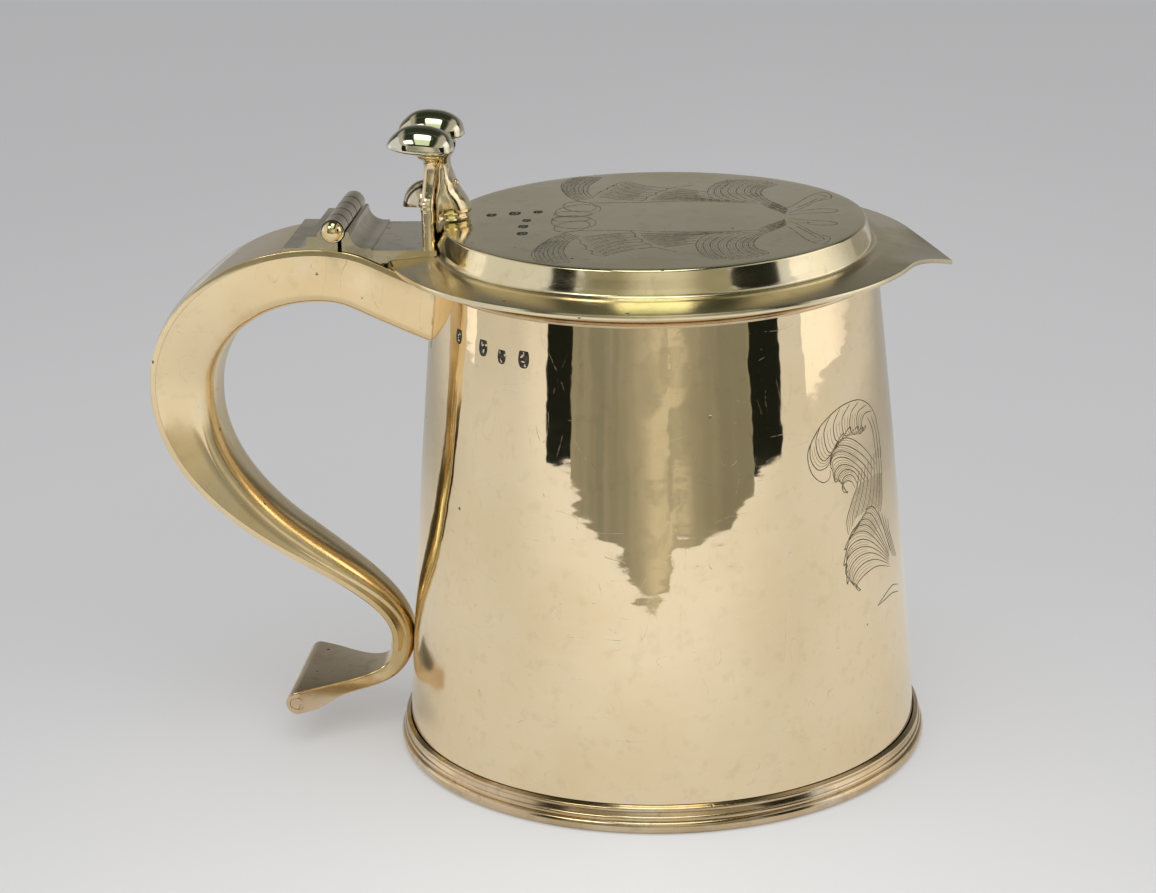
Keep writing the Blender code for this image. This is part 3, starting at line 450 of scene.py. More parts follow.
def buildBezel():
    s = bezelSizes
    low, high = lidSizes["rest"] - s["depth"], lidSizes["rest"] + s["rise"]
    lean = lidSizes["taper"] * s["rise"] / (lidSizes["height"] - lidSizes["edge"] - lidSizes["sheet"])
    outer = [(s["radius"] - 0.2, low), (s["radius"], low + 0.3), (s["radius"], lidSizes["rest"]),
             (s["radius"] - lean, high)]
    inner = [(radius - s["wall"], z) for radius, z in reversed(outer[1:])] + [(s["radius"] - s["wall"] + 0.2, low)]
    finish("bezel", turned(outer + inner), "giltInside", "lid", ["lid_bezel"])


# Handle: channel, strap and rolled tail along one back line
hingeSizes = {"x": -82.0, "z": 143.5, "radius": 3.0, "length": 34.0, "count": 5, "gap": 0.26, "worn": 0.06,
              "pin": 1.3, "headRadius": 2.8, "headHeight": 2.5, "web": 1.8, "plateLength": 13.5, "tread": 1.1,
              "lidPlate": 1.4, "step": 0.5, "inset": 0.7, "plateGap": 0.2, "seat": 0.04}
handleSizes = {"reach": 52.1, "crown": 1.2, "crownFrom": 2.25, "crownOver": 0.6, "crest": 5.0, "bendDrop": 39.9,
               "rootHeight": 25.8, "rootDrop": 7.8, "rootLead": 6.0, "rootGap": 0.04, "clearance": 0.1,
               "rimSlope": 154, "armReach": 26.6, "armRise": 25.1, "armSlope": -31.0, "tailLength": 24.5,
               "tailHeight": 16.0,
               "widths": [(1, 33.0), (2, 33.0), (3, 25.0), (4, 19.0), (5, 11.5)],
               "depths": [(1, 14.6), (2, 14.6), (3, 16.3), (4, 8.2), (5, 5.6)],
               "cornerWide": [(1, 2.6), (2, 2.8), (3, 5.2), (4, 7.8), (5, 3.4)],
               "cornerDeep": [(1, 2.6), (2, 2.8), (3, 5.0), (4, 5.4), (5, 2.4)],
               "lean": [(2, 0.03), (2.6, 0.12), (3, 0.3), (4, 0.38), (5, 0.7)],
               "wall": 1.3, "strap": 1.5, "curl": 0.3, "seamKnot": 5.1, "joint": 0.05, "lead": 3.0}
tailSizes = {"width": 41.2, "thickness": 4.0, "bead": 6.4, "flareStart": 0.24, "flarePower": 1.8, "corner": 0.6,
             "nearRound": 0.5, "farRound": 3.0, "farCut": 1.6, "lap": 0.03, "overlap": 0.12, "rootNarrow": 1.1,
             "rollShare": 0.25, "rollAngle": 88, "curl": 2.0, "curlLine": 0.13}
crestZ = hingeSizes["z"] - hingeSizes["radius"] - seam - hingeSizes["web"]


def handleKnots():
    # x, z, heading, reach in and reach out of each knot
    s = handleSizes
    rootX = -(drumRadius(s["rootHeight"]) + s["depths"][-1][1])
    rimX = -(lidSizes["rim"] + seam)
    rimZ = lidSizes["rest"] - lidSizes["fall"] - s["clearance"]
    crestX = hingeSizes["x"] - s["crest"]
    bendX = hingeSizes["x"] - s["reach"]
    bendZ = crestZ - s["bendDrop"]
    armX, armZ = rootX - s["armReach"], s["rootHeight"] + s["armRise"]
    toRim = (rimX - crestX) * 0.4
    return [
        (s["rootLead"] - drumSizes["mouthRadius"], rimZ - s["rootDrop"], 160, 0.0, toRim * 0.5),
        (rimX, rimZ, s["rimSlope"], toRim * 0.5, toRim),
        (crestX, crestZ, 180, toRim, (crestX - bendX) * 0.55),
        (bendX, bendZ, -90, (crestZ - bendZ) * 0.55, (bendZ - armZ) * 0.47),
        (armX, armZ, s["armSlope"], (armX - bendX) * 0.58, s["armReach"] * 0.57),
        (rootX, s["rootHeight"], -90, s["armRise"] * 0.36, (s["rootHeight"] - s["tailHeight"]) * 1.15),
        (rootX - s["tailLength"], s["tailHeight"], 180, s["tailLength"] * 0.6, 0.0),
    ]


knots = handleKnots()


def handlePoint(position):
    # back line point and its normal toward the fingers
    index = min(max(int(position), 0), len(knots) - 2)
    (x0, z0, head0, _, leave), (x3, z3, head3, arrive, _) = knots[index], knots[index + 1]
    a0, a3 = math.radians(head0), math.radians(head3)
    p0, p3 = Vector((x0, z0)), Vector((x3, z3))
    p1 = p0 + Vector((math.cos(a0), math.sin(a0))) * leave
    p2 = p3 - Vector((math.cos(a3), math.sin(a3))) * arrive

    def at(t):
        r = 1 - t
        return p0 * r ** 3 + p1 * 3 * r * r * t + p2 * 3 * r * t * t + p3 * t ** 3
    t = position - index
    lead = handleSizes["lead"] * min(t, 0.0)  # straight on into the drum before the first knot
    t = max(t, 0.0)
    along = (at(min(t + 1e-4, 1.0)) - at(max(t - 1e-4, 0.0))).normalized()
    return at(t) + along * lead, Vector((-along.y, along.x))


def onHandle(position, across, depth):
    here, inward = handlePoint(position)
    spot = here + inward * depth
    return Vector((spot.x, across, spot.y))


def offDrum(bm):
    # ends that run into the drum or its lip lie on them instead
    lipLow = drumSizes["mouth"] - lipSizes["height"] - seam
    lipOut = drumSizes["mouthRadius"] + seam + lipSizes["projection"] + seam
    for vert in bm.verts:
        keep = lipOut if vert.co.z > lipLow else drumRadius(vert.co.z) + handleSizes["rootGap"]
        radius = math.hypot(vert.co.x, vert.co.y)
        if radius < keep and vert.co.z > footSizes["height"]:
            vert.co.x *= keep / radius
            vert.co.y *= keep / radius
    return bm


def channelSection(position):
    s = handleSizes
    half = through(s["widths"], position) / 2
    floor = through(s["depths"], position)
    top = s["strap"] + s["joint"]
    lean = through(s["lean"], position)
    wide = through(s["cornerWide"], position)
    deep = min(through(s["cornerDeep"], position), (floor - top) * 0.94)
    sides = []
    for inset in (0.0, s["wall"]):
        start = floor - deep
        side = half - inset
        turn = side - lean * (start - top)
        tall, curve = max(deep - inset, 0.3), max(min(wide, turn * 0.95) - inset, 0.3)
        right = [(side - lean * (d - top), d) for d in [blend(top, start, k / 4) for k in range(4)]]
        right += [(turn + curve * (x - 1), start + tall * z) for x, z in arc((0, 0), 1, 0, 90, 14)]
        flat = [(blend(turn - curve, curve - turn, k / 6), start + tall) for k in range(1, 6)]
        sides.append(right + flat + [(-y, d) for y, d in reversed(right)])
    return sides[0] + sides[1][::-1]


def strapSection(position):
    s = handleSizes
    half, curl = through(s["widths"], position) / 2, s["curl"]
    crown = s["crown"] * ease((position - s["crownFrom"]) / s["crownOver"])
    top = [(y, -crown * (1 - (y / half) ** 2)) for y in [(half - curl) * (1 - k / 8) for k in range(17)]]
    right = [(y, 2 * curl - d) for y, d in arc((half - curl, curl), curl, 0, 80, 4)]
    left = [(-y, d) for y, d in reversed(right)]
    return [(half, s["strap"])] + right + top + left + [(-half, s["strap"])]


def buildHandle():
    last = handleSizes["seamKnot"]
    for name, section, node in (("handleChannel", channelSection, "handle_channel"),
                                ("handleStrap", strapSection, "handle_back_strap")):
        count = len(section(1.0))
        cached = {}

        def place(index, share):
            position = blend(-1.0, last, share)
            if position not in cached:
                cached[position] = section(position)
            return onHandle(position, *cached[position][index % count])
        bm = offDrum(wrapped(count, 190, place))
        bmesh.ops.recalc_face_normals(bm, faces=bm.faces)
        rubbed = bm.verts.layers.float.new("rubbed")
        for vert in bm.verts:
            vert[rubbed] = ease((vert.normal.x - 0.15) / 0.35)
        finish(name, bm, "giltHandle", "vessel", [node], 30.0)


def buildTail():
    s = tailSizes
    last = len(knots) - 1
    start = handleSizes["seamKnot"] - s["overlap"]
    rootDepth, rootWidth, rootWide, rootDeep = [handleSizes[key][-1][1]
                                                for key in ("depths", "widths", "cornerWide", "cornerDeep")]
    rootHalf = rootWidth / 2 + s["lap"]
    thick = [(0, rootDepth + s["lap"]), (0.4, s["thickness"]), (0.72, s["thickness"]), (0.93, s["bead"])]
    ringCount = 40

    def place(index, share):
        along = share * (1 + s["rollShare"])
        roll = math.radians(max(along - 1.0, 0.0) / s["rollShare"] * s["rollAngle"])
        along = min(along, 1.0)
        near = s["bead"] / 2 * (1 - math.cos(roll)) - s["lap"]
        far = through(thick, along) - near
        flare = max(along - s["flareStart"], 0.0) / (1 - s["flareStart"])
        half = blend(rootHalf, s["width"] / 2, flare ** s["flarePower"])
        side, turn = divmod(index % ringCount, 10)
        angle = math.radians(90 * side + 10 * turn)
        sign = 1 if side in (0, 3) else -1
        if sign > 0:
            half -= s["farCut"] * flare + s["farRound"] * (max(along - 0.8, 0.0) / 0.2) ** 2 * 0.5
            half -= s["farRound"] * (1 - math.cos(roll)) * 0.5
        else:
            half -= s["nearRound"] * (1 - math.cos(roll)) * 0.5
        wide = deep = min(s["corner"], (far - near) * 0.3)
        if side < 2:  # the drum side starts as round as the handle's finger side
            flat = ease(along / 0.4)
            wide, deep = blend(rootWide, wide, flat), blend(rootDeep, deep, flat)
            half -= s["rootNarrow"] * (1 - flat)
        y = sign * (half - wide) + wide * math.cos(angle)
        d = (far - deep if side < 2 else near + deep) + deep * math.sin(angle)
        spot = onHandle(blend(start, last, along), y, d)
        spot.x -= s["bead"] / 2 * math.sin(roll)
        return spot
    bm = offDrum(wrapped(ringCount, 90, place))
    finish("handleTail", bm, "giltTail", "vessel", ["handle_tail"], 40.0)
    tip = onHandle(last, 0, s["bead"] / 2)
    farHalf = s["width"] / 2 - s["farCut"] - s["farRound"] / 2
    curl = [ring((0, 0), s["curl"], s["curl"] * 0.8, 0, 40, 330)]
    for name, side, half in (("near", -1, s["width"] / 2), ("far", 1, farHalf)):
        def onEnd(x, z, lift):
            return Vector((tip.x + x, side * (half + lift), tip.z + z))
        engrave(f"tailCurl.{name}", curl, onEnd, "vessel", s["curlLine"])


# Hinge plates, knuckles and riveted pin
def strapLine(lowX, highX, lift):
    spots = []
    for k in range(121):
        here, inward = handlePoint(3 * k / 120)
        spots.append(here - inward * lift)

    def height(x):
        for before, after in zip(spots, spots[1:]):
            if after.x <= x <= before.x:
                return blend(before.y, after.y, (before.x - x) / (before.x - after.x))
        return spots[-1].y
    inside = [(spot.x, spot.y) for spot in spots if lowX < spot.x < highX]
    return [(highX, height(highX))] + inside + [(lowX, height(lowX))]


def plateAcross(outline, limit=None):
    half = hingeSizes["length"] / 2 - hingeSizes["inset"]
    points = finely(outline, 0.7)

    def place(index, share):
        x, z = points[index % len(points)]
        spot = Vector((x, blend(-half, half, share), z))
        return limit(spot) if limit else spot
    return wrapped(len(points), 28, place)


def buildHandlePlate():
    s = hingeSizes
    seatRadius = s["radius"] + seam
    frontX, backX = s["x"] + s["radius"] * 0.33, s["x"] - s["plateLength"]
    seat = strapLine(backX, frontX, 0.02)
    tread = seat[-1][1] + s["tread"]
    shoulderX, shoulderZ = s["x"] - seatRadius - s["radius"] * 0.3, s["z"] - s["radius"] * 0.25
    coveX = blend(backX, shoulderX, 0.45)
    cove = min(shoulderX - coveX, shoulderZ - tread) * 0.62
    ledge = shoulderZ - s["radius"] * 0.3
    outline = [(backX, tread), (coveX - cove * 0.3, tread)]
    outline += arc((coveX, tread + cove), cove, -90, 0)
    outline += [(coveX + cove, ledge), (shoulderX, ledge), (shoulderX, shoulderZ)]
    outline += arc((s["x"], s["z"]), seatRadius, -174, -72) + seat
    finish("handlePlate", plateAcross(outline), "giltHinge", "vessel", ["handle_hinge_plate"])


def onLid(spot):
    # keeps the plate on top of the flange and outside the crown
    s = lidSizes
    radius = math.hypot(spot.x, spot.y)
    if radius < s["rim"] + seam:
        spot.z = max(spot.z, flangeTop - flangeFall(flangeShare(radius)) + hingeSizes["seat"])
        rise = min(max(spot.z - hingeSizes["seat"] - flangeTop, 0.0), s["cove"])
        wall = s["footRadius"] + hingeSizes["seat"] + s["cove"] - math.sqrt(s["cove"] ** 2 - (s["cove"] - rise) ** 2)
        if radius < wall:
            spot.x = -math.sqrt(wall * wall - spot.y * spot.y)
    return spot


def buildLidPlate():
    s = hingeSizes
    seatRadius = s["radius"] + seam
    lowX = s["x"] + seatRadius * math.cos(math.radians(-50))
    rimX = -(lidSizes["rim"] + seam)
    insideX = lidSizes["taper"] - lidSizes["footRadius"]
    crestX, crestTop = s["x"] + seatRadius + s["radius"] * 0.25, s["z"] - s["radius"] * 0.2
    plateTop = flangeTop + seam + s["lidPlate"]
    stepZ = plateTop + s["step"]
    cove = crestTop - stepZ
    stepX = blend(crestX + cove, rimX, 0.35)
    within = flangeTop - lidSizes["fall"] - lidSizes["sheet"] / 2
    outline = arc((s["x"], s["z"]), seatRadius, -50, -6)
    outline += arc((crestX + cove, crestTop), cove, 180, 270)
    outline += [(stepX, stepZ), (stepX, plateTop), (insideX, plateTop), (insideX, within), (rimX, within)]
    outline += strapLine(lowX, rimX - seam, s["plateGap"])
    finish("lidPlate", plateAcross(outline, onLid), "giltHinge", "lid", ["lid_hinge_plate"])


def alongHinge(bm):
    turn = Matrix.Translation((hingeSizes["x"], 0, hingeSizes["z"])) @ Matrix.Rotation(math.radians(-90), 4, "X")
    bmesh.ops.transform(bm, matrix=turn, verts=bm.verts)
    return bm


def buildKnuckles():
    s = hingeSizes
    pitch = s["length"] / s["count"]
    bore, worn = s["pin"] + seam, s["worn"]
    for index in range(s["count"]):
        low = -s["length"] / 2 + pitch * index + s["gap"] / 2
        high = low + pitch - s["gap"]
        outline = [(bore, low)] + arc((s["radius"] - worn, low + worn), worn, -90, 0, 4)
        outline += [(s["radius"], low + worn * 2), (s["radius"], high - worn * 2)]
        outline += arc((s["radius"] - worn, high - worn), worn, 0, 90, 4) + [(bore, high)]
        owner, body = (("handle", "vessel"), ("lid", "lid"))[index % 2]
        number = index // 2 + 1
        finish(f"knuckle.{owner}.{number}", alongHinge(turned(outline, 64)), "giltHinge", body,
               [f"hinge_knuckle_{owner}_{number}"])


def buildPin():
    s = hingeSizes
    seat = s["length"] / 2 - s["gap"] / 2 + 0.05
    dome = [(s["headRadius"] * math.cos(a), seat + s["headHeight"] * math.sin(a))
            for a in [math.pi / 2 * k / 12 for k in range(13)]]
    far = [(s["pin"], seat)] + dome[:-1] + [(0, seat + s["headHeight"])]
    outline = [(radius, -z) for radius, z in reversed(far)] + far
    finish("pin", alongHinge(turned(outline, 48)), "giltBall", "vessel", ["hinge_pin"])


# Thumbpiece: stem, leaf spur, baluster scroll and two lobes
thumbSizes = {"ahead": 0.8, "thickness": 4.0, "width": 16.5, "waist": 10.0, "top": 24.0, "height": 23.5,
              "collar": 9.0, "lean": 1.2, "rib": 0.12, "ribRise": 1.1, "flare": 3.0, "flareFrom": 0.55,
              "spurLength": 4.6, "spurRise": 6.0, "spurWidth": 12.5, "spurSag": 0.5,
              "scrollLength": 8.2, "scrollWidth": 12.6, "neck": 1.4, "bud": 1.0, "budPlace": (4.7, -0.8, 0.5),
              "lobeLength": 18.0, "lobeTip": 11.0, "lobeWidth": 13.6, "lobeRise": 5.8, "lobeDrop": 1.5,
              "lobeTilt": 1.3, "lobeSpacing": 20.6}
stemBase = flangeTop + seam + hingeSizes["lidPlate"] + 0.02
stemTop = stemBase + thumbSizes["height"]
collarZ = stemBase + thumbSizes["collar"]
stemFront = thumbSizes["ahead"] - (lidSizes["footRadius"] + seam)


def stemShift(z):
    return thumbSizes["lean"] * ease((z - collarZ) / (stemTop - collarZ))


def oval(turn, halfX, halfY, square=1.0):
    c, s = math.cos(turn), math.sin(turn)
    return math.copysign(abs(c) ** square, c) * halfX, math.copysign(abs(s) ** square, s) * halfY


def stemHalf(z):
    s = thumbSizes
    return through([(stemBase, s["width"]), (collarZ, s["width"] * 0.94), (blend(collarZ, stemTop, 0.78), s["waist"]),
                    (stemTop, s["top"])], z) / 2


def buildStem():
    s = thumbSizes
    ribZ, flareZ = collarZ + s["ribRise"], blend(collarZ, stemTop, s["flareFrom"])

    def place(index, share):
        z = blend(stemBase, stemTop, share)
        swell = s["thickness"] * s["rib"] * math.exp(-((z - ribZ) / 0.75) ** 2)
        swell += 0.2 * math.exp(-((z - ribZ + 1.5) / 0.5) ** 2)
        top = max((z - flareZ) / (stemTop - flareZ), 0.0) ** 2.6
        back = stemFront - s["thickness"] + stemShift(z) - swell - top * s["flare"] * 0.6
        front = stemFront + stemShift(z) + top * s["flare"]
        half = stemHalf(z) + swell
        x, y = oval(math.tau * index / 56, (front - back) / 2, half, 0.5)
        rough = noise.noise(Vector((x, y, z)) / 1.7) * 0.10 + noise.noise(Vector((x, y, z)) / 4.0) * 0.16
        return Vector(((front + back) / 2 + x + rough * math.copysign(1, x), y * (1 + rough * 0.05), z))
    finish("stem", wrapped(56, 110, place), "giltWorn", "lid", ["thumbpiece_stem"], 55.0)


def buildSpur():
    s = thumbSizes

    def place(index, share):
        share = share * 0.98
        z = collarZ + s["spurRise"] * share
        full = math.sqrt(1 - share * share)
        backX = stemFront - s["thickness"] + stemShift(z) + 0.4
        turn = math.pi * min(index, 24) / 24
        reach = (s["spurLength"] + 1.3) * full * math.sin(turn) ** 1.4
        y = -s["spurWidth"] / 2 * full * math.cos(turn)
        if index > 24:
            y = blend(s["spurWidth"] / 2 * full, -s["spurWidth"] / 2 * full, (index - 24) / 8)
            reach = 0.0
        sag = s["spurSag"] * (reach / s["spurLength"]) ** 2 * (1 - share)  # the tip hangs a little
        return Vector((backX - reach, y, z - sag))
    finish("spur", wrapped(32, 20, place), "giltHinge", "lid", ["thumbpiece_spur"], 40.0)


def buildScroll():
    s = thumbSizes
    foot = lidTop + lidSizes["dome"]
    front = [(0.0, 0.93), (0.03, 0.98), (0.06, 0.92), (0.11, 1.0), (0.2, 0.95), (0.27, 0.85), (0.36, 0.68),
             (0.45, 0.5), (0.55, 0.36), (0.64, 0.24), (0.72, 0.15), (0.84, 0.06), (1.0, 0.26)]
    width = [(0.0, 0.8), (0.03, 0.84), (0.06, 0.79), (0.11, 0.9), (0.27, 0.98), (0.46, 0.95), (0.8, 0.76), (1.0, 1.3)]

    def place(index, share):
        z = blend(foot, stemTop, share)
        backX = stemFront + stemShift(z) - 0.5
        halfX = (s["neck"] + 0.8 + (s["scrollLength"] - s["neck"]) * max(through(front, share), 0.0)) / 2
        turn = math.tau * index / 48
        back = max(-math.cos(turn), 0.0)  # the back half widens to meet the stem
        half = blend(s["scrollWidth"] / 2 * through(width, share), stemHalf(z) - 0.3, ease(back * 1.5))
        x, y = oval(turn, halfX, half, 0.45 if back else 1.0)
        dent = noise.noise(Vector((x, y, z)) / 1.9) * 0.22
        return Vector((backX + halfX + x + dent, y, z))
    bm = wrapped(48, 120, place)
    bud = bmesh.ops.create_uvsphere(bm, u_segments=16, v_segments=10, radius=s["bud"])["verts"]
    budX, budY, budShare = s["budPlace"]
    bmesh.ops.translate(bm, vec=(stemFront + budX, budY, blend(foot, stemTop, budShare)), verts=bud)
    finish("scroll", bm, "giltScroll", "lid", ["thumbpiece_scroll"], 50.0)


def buildLobes():
    s = thumbSizes
    plan = [(0.0, 0.0), (0.05, 0.28), (0.12, 0.52), (0.25, 0.82), (0.4, 0.97), (0.55, 1.0), (0.7, 0.95), (0.85, 0.74),
            (0.95, 0.42), (1.0, 0.0)]
    tipX = stemFront - s["thickness"] / 2 + s["lean"] - s["lobeTip"]
    rest = stemTop + seam + s["lobeDrop"] + s["lobeTilt"] / 4
    for name, side in (("near", -1), ("far", 1)):
        def place(index, share):
            share = (1 - math.cos(math.pi * share)) / 2
            full = max(through(plan, share), 0.0)
            turn = math.tau * index / 48
            lift = s["lobeRise"] if math.sin(turn) > 0 else s["lobeDrop"]
            y = side * s["lobeSpacing"] / 2 + s["lobeWidth"] / 2 * full ** 0.7 * math.cos(turn)
            swell = full ** blend(1.1, 0.8, min(share * 2, 1))
            z = rest + s["lobeTilt"] * (0.6 - share) + lift * swell * math.sin(turn)
            return Vector((tipX + s["lobeLength"] * share, y, z))
        finish(f"lobe.{name}", wrapped(48, 48, place), "giltThumb", "lid",
               [f"thumbpiece_cusp_{name}"], 70.0)


# Engraved plumes and blank punches, cut as thin dark lines lying in the metal
cutSizes = {"width": 0.29, "lidWidth": 0.34, "hatch": 0.12, "lift": 0.025, "sink": 0.12, "drumUnit": 63.0}


def darkMaterial(name, low, high, rough):
    material, spot = newMaterial(name)
    grain = spot.cloud(700.0, 3.0)
    tint = grain.rise(0.35, 0.65).pick(low, high)
    toSurface(tint.make("ShaderNodeBsdfPrincipled", {},
                        {"Base Color": tint, "Metallic": 0.6, "Roughness": grain * 0.2 + rough}))
    return material


def smoothPath(points, count=22):
    path, last = [], len(points) - 1
    for k in range(count + 1):
        index = min(int(k / count * last), last - 1)
        t = k / count * last - index
        near = [points[min(max(index + step, 0), last)] for step in (-1, 0, 1, 2)]
        path.append(tuple((2 * b + (c - a) * t + (2 * a - 5 * b + 4 * c - d) * t * t
                           + (3 * b - a - 3 * c + d) * t ** 3) / 2 for a, b, c, d in zip(*near)))
    return path


def fan(guides, count, hook=0.6):
    # strokes blended from guide to guide, with round ends joining neighbours
    if len(guides) == 1:
        return [smoothPath(guides[0], 60)]
    paths = [smoothPath(guide) for guide in guides]
    strokes = []
    for k in range(count):
        index = min(int(k / (count - 1) * (len(paths) - 1)), len(paths) - 2)
        t = k / (count - 1) * (len(paths) - 1) - index
        strokes.append([(blend(a[0], b[0], t), blend(a[1], b[1], t)) for a, b in zip(paths[index], paths[index + 1])])
    ends = []
    for first, second in zip(strokes, strokes[1:]):
        (ax, ay), (bx, by), (px, py) = first[-1], second[-1], first[-3]
        size = math.hypot(ax - px, ay - py)
        gap = math.hypot(ax - bx, ay - by) * hook / size if size else 0.0
        middle = ((ax + bx) / 2 + (ax - px) * gap, (ay + by) / 2 + (ay - py) * gap)
        ends.append(smoothPath([(ax, ay), middle, (bx, by)], 8))
    return strokes + (ends if hook else [])


def ring(centre, halfX, halfY, tilt, start=0.0, end=360.0):
    c, s = math.cos(math.radians(tilt)), math.sin(math.radians(tilt))
    spots = [(x * halfX, y * halfY) for x, y in arc((0, 0), 1, start, end, 30)]
    return [(centre[0] + x * c - y * s, centre[1] + x * s + y * c) for x, y in spots]


def onDrum(along, z, lift):
    angle = along / cutSizes["drumUnit"]
    spot = Vector((math.cos(angle), math.sin(angle), 0)) * drumRadius(z)
    spot.z = z
    grow = 1 + (hammeredDrum(spot) + lift) / drumRadius(z)
    return Vector((spot.x * grow, spot.y * grow, z))


def onLidTop(x, y, lift):
    return Vector((x, y, lidTopAt(x, y) + lift))


def engrave(name, strokes, onSurface, body, width=None):
    bm = bmesh.new()
    for stroke in strokes:
        count = len(stroke) - 1

        def place(index, share):
            k = round(share * count)
            (ax, ay), (bx, by) = stroke[max(k - 1, 0)], stroke[min(k + 1, count)]
            size = math.hypot(bx - ax, by - ay) or 1.0
            half = (width or cutSizes["width"]) / 2 * (0.3 + 0.7 * math.sqrt(max(math.sin(math.pi * share), 0.0)))
            half *= 1 if index % 4 in (0, 3) else -1
            lift = cutSizes["lift"] if index % 4 < 2 else -cutSizes["sink"]
            return onSurface(stroke[k][0] - (by - ay) / size * half, stroke[k][1] + (bx - ax) / size * half, lift)
        rolled(bm, 4, count, place)
    finish(name, closed(bm), engraved[body], body)


# guide strokes of each plume: distance round the drum and height, or place on the lid
drumGuides = [
    (1, 0.0, [[(-21.3, 91.7), (-22.7, 96.1), (-26.7, 100.2), (-32.6, 102.8), (-40.7, 102.9), (-48, 100.1),
               (-52.3, 95.9), (-53.6, 92.6), (-52.5, 88.2), (-49.3, 85.3), (-46.7, 85.6), (-45.9, 87.8)]]),
    (8, 0.6, [[(-51.7, 97), (-52.7, 94.4), (-52.4, 91.3), (-50.4, 88.8), (-47.6, 88.7), (-45.7, 90.1)],
              [(-48.8, 99.5), (-50.5, 96.5), (-50.1, 92.8), (-48.1, 90.6), (-45.5, 91.6)],
              [(-44.9, 101.5), (-47.5, 98), (-47, 93.7), (-45.4, 92.1), (-43.7, 93.5)],
              [(-40.7, 102.6), (-43.7, 99.2), (-43.5, 95.3), (-41.6, 94), (-40.3, 95)],
              [(-36.2, 102.7), (-40, 99.9), (-40.1, 96.3), (-38.5, 94.8), (-36.6, 95.4)],
              [(-32.2, 102.1), (-36, 100.2), (-37, 96.5), (-35.3, 94.4), (-33.3, 94.8)],
              [(-27.9, 100.2), (-32.6, 99.6), (-33.6, 96.2), (-32.4, 93.8), (-30.9, 94.4)],
              [(-24.8, 97.8), (-28.8, 98.3), (-31.1, 96.6), (-30.6, 94.3), (-29.1, 94.5)]]),
    (8, 0.5, [[(-24.6, 83.6), (-29.8, 88.8), (-35.5, 93), (-39.9, 94.6), (-42.9, 93.8), (-44.9, 92.2), (-45.5, 90.8)],
              [(-26.3, 81.4), (-31.3, 86.6), (-37.7, 90.9), (-42.6, 92.7), (-45.5, 91.3), (-46, 89.3)],
              [(-29, 80.1), (-33.1, 85), (-37.9, 88.9), (-42, 90.7), (-44.8, 90.6), (-45.7, 88.8)],
              [(-32.1, 81), (-35.5, 85.1), (-39, 87.1), (-42.3, 87.7), (-44.4, 86.4), (-44.6, 84.6), (-43, 83.9)],
              [(-34.6, 81.2), (-36.6, 84.3), (-39.1, 85.5), (-41.7, 85.2), (-42.6, 84.1)],
              [(-36.6, 80.7), (-37.7, 82.5), (-39.8, 83.4), (-41.8, 82.6), (-41.4, 80.8), (-39.7, 80.7)]]),
    (9, 0.0, [[(-34.1, 84.7), (-35.6, 80.9), (-38.1, 77.9), (-41, 73.4), (-40.8, 69.4)],
              [(-30.9, 85.4), (-32.4, 80.5), (-34.8, 76.4), (-37.1, 72.9)],
              [(-27.3, 86.5), (-28.4, 79.9), (-30.2, 75.6), (-32.2, 73.5)],
              [(-23.9, 87.1), (-24.6, 79.8), (-26, 74.9), (-27.2, 72.6)],
              [(-20.5, 87.2), (-21.6, 78.9), (-22.3, 73.7), (-24, 70.5)]]),
    (3, 0.0, [[(-22.7, 96.1), (-21.3, 91.7), (-20.8, 88.4), (-21.3, 84.2)],
              [(-27.8, 97), (-25.3, 93.4), (-24.6, 88.9), (-24.3, 85.1)]]),
    (10, 0.7, [[(-19.3, 58.5), (-22.5, 65.1), (-25.6, 70.4), (-28.3, 73.2), (-31.1, 73.8), (-33.1, 72.8)],
               [(-20.3, 57.8), (-26.4, 66.4), (-30.4, 71.1), (-33.9, 72.2), (-36, 70.9)],
               [(-20.4, 57.3), (-27.8, 65.7), (-32.7, 69.7), (-37.9, 70.4), (-40.2, 69)],
               [(-20.6, 56.8), (-29.2, 64.6), (-35, 68), (-40.3, 67.9), (-42.5, 64.8)],
               [(-20.7, 56.2), (-30, 62.7), (-36.7, 64.8), (-41.5, 63.5), (-42.8, 60.1), (-41.7, 57.9)],
               [(-20.9, 55.5), (-29.3, 60.3), (-35.7, 61.5), (-39.8, 59.8), (-40.9, 56.9), (-39.4, 55.9)],
               [(-20.3, 54.4), (-28.1, 57.2), (-33.4, 57.3), (-37.2, 56.3), (-39, 55), (-37.9, 53.6)]]),
    (4, 0.0, [[(-25.5, 71.5), (-23, 66.3), (-20.3, 61.1), (-17.7, 56.3)],
              [(-19.1, 67), (-18.7, 63.8), (-16.7, 59.8), (-14.1, 55)]]),
    (2, 0.0, [[(-14.2, 47.2), (-19.8, 48.9), (-25.7, 48.1), (-29.5, 46.8)],
              [(-14.7, 45.4), (-19.4, 46.8), (-23.2, 47.1), (-29.5, 46.8)]]),
]
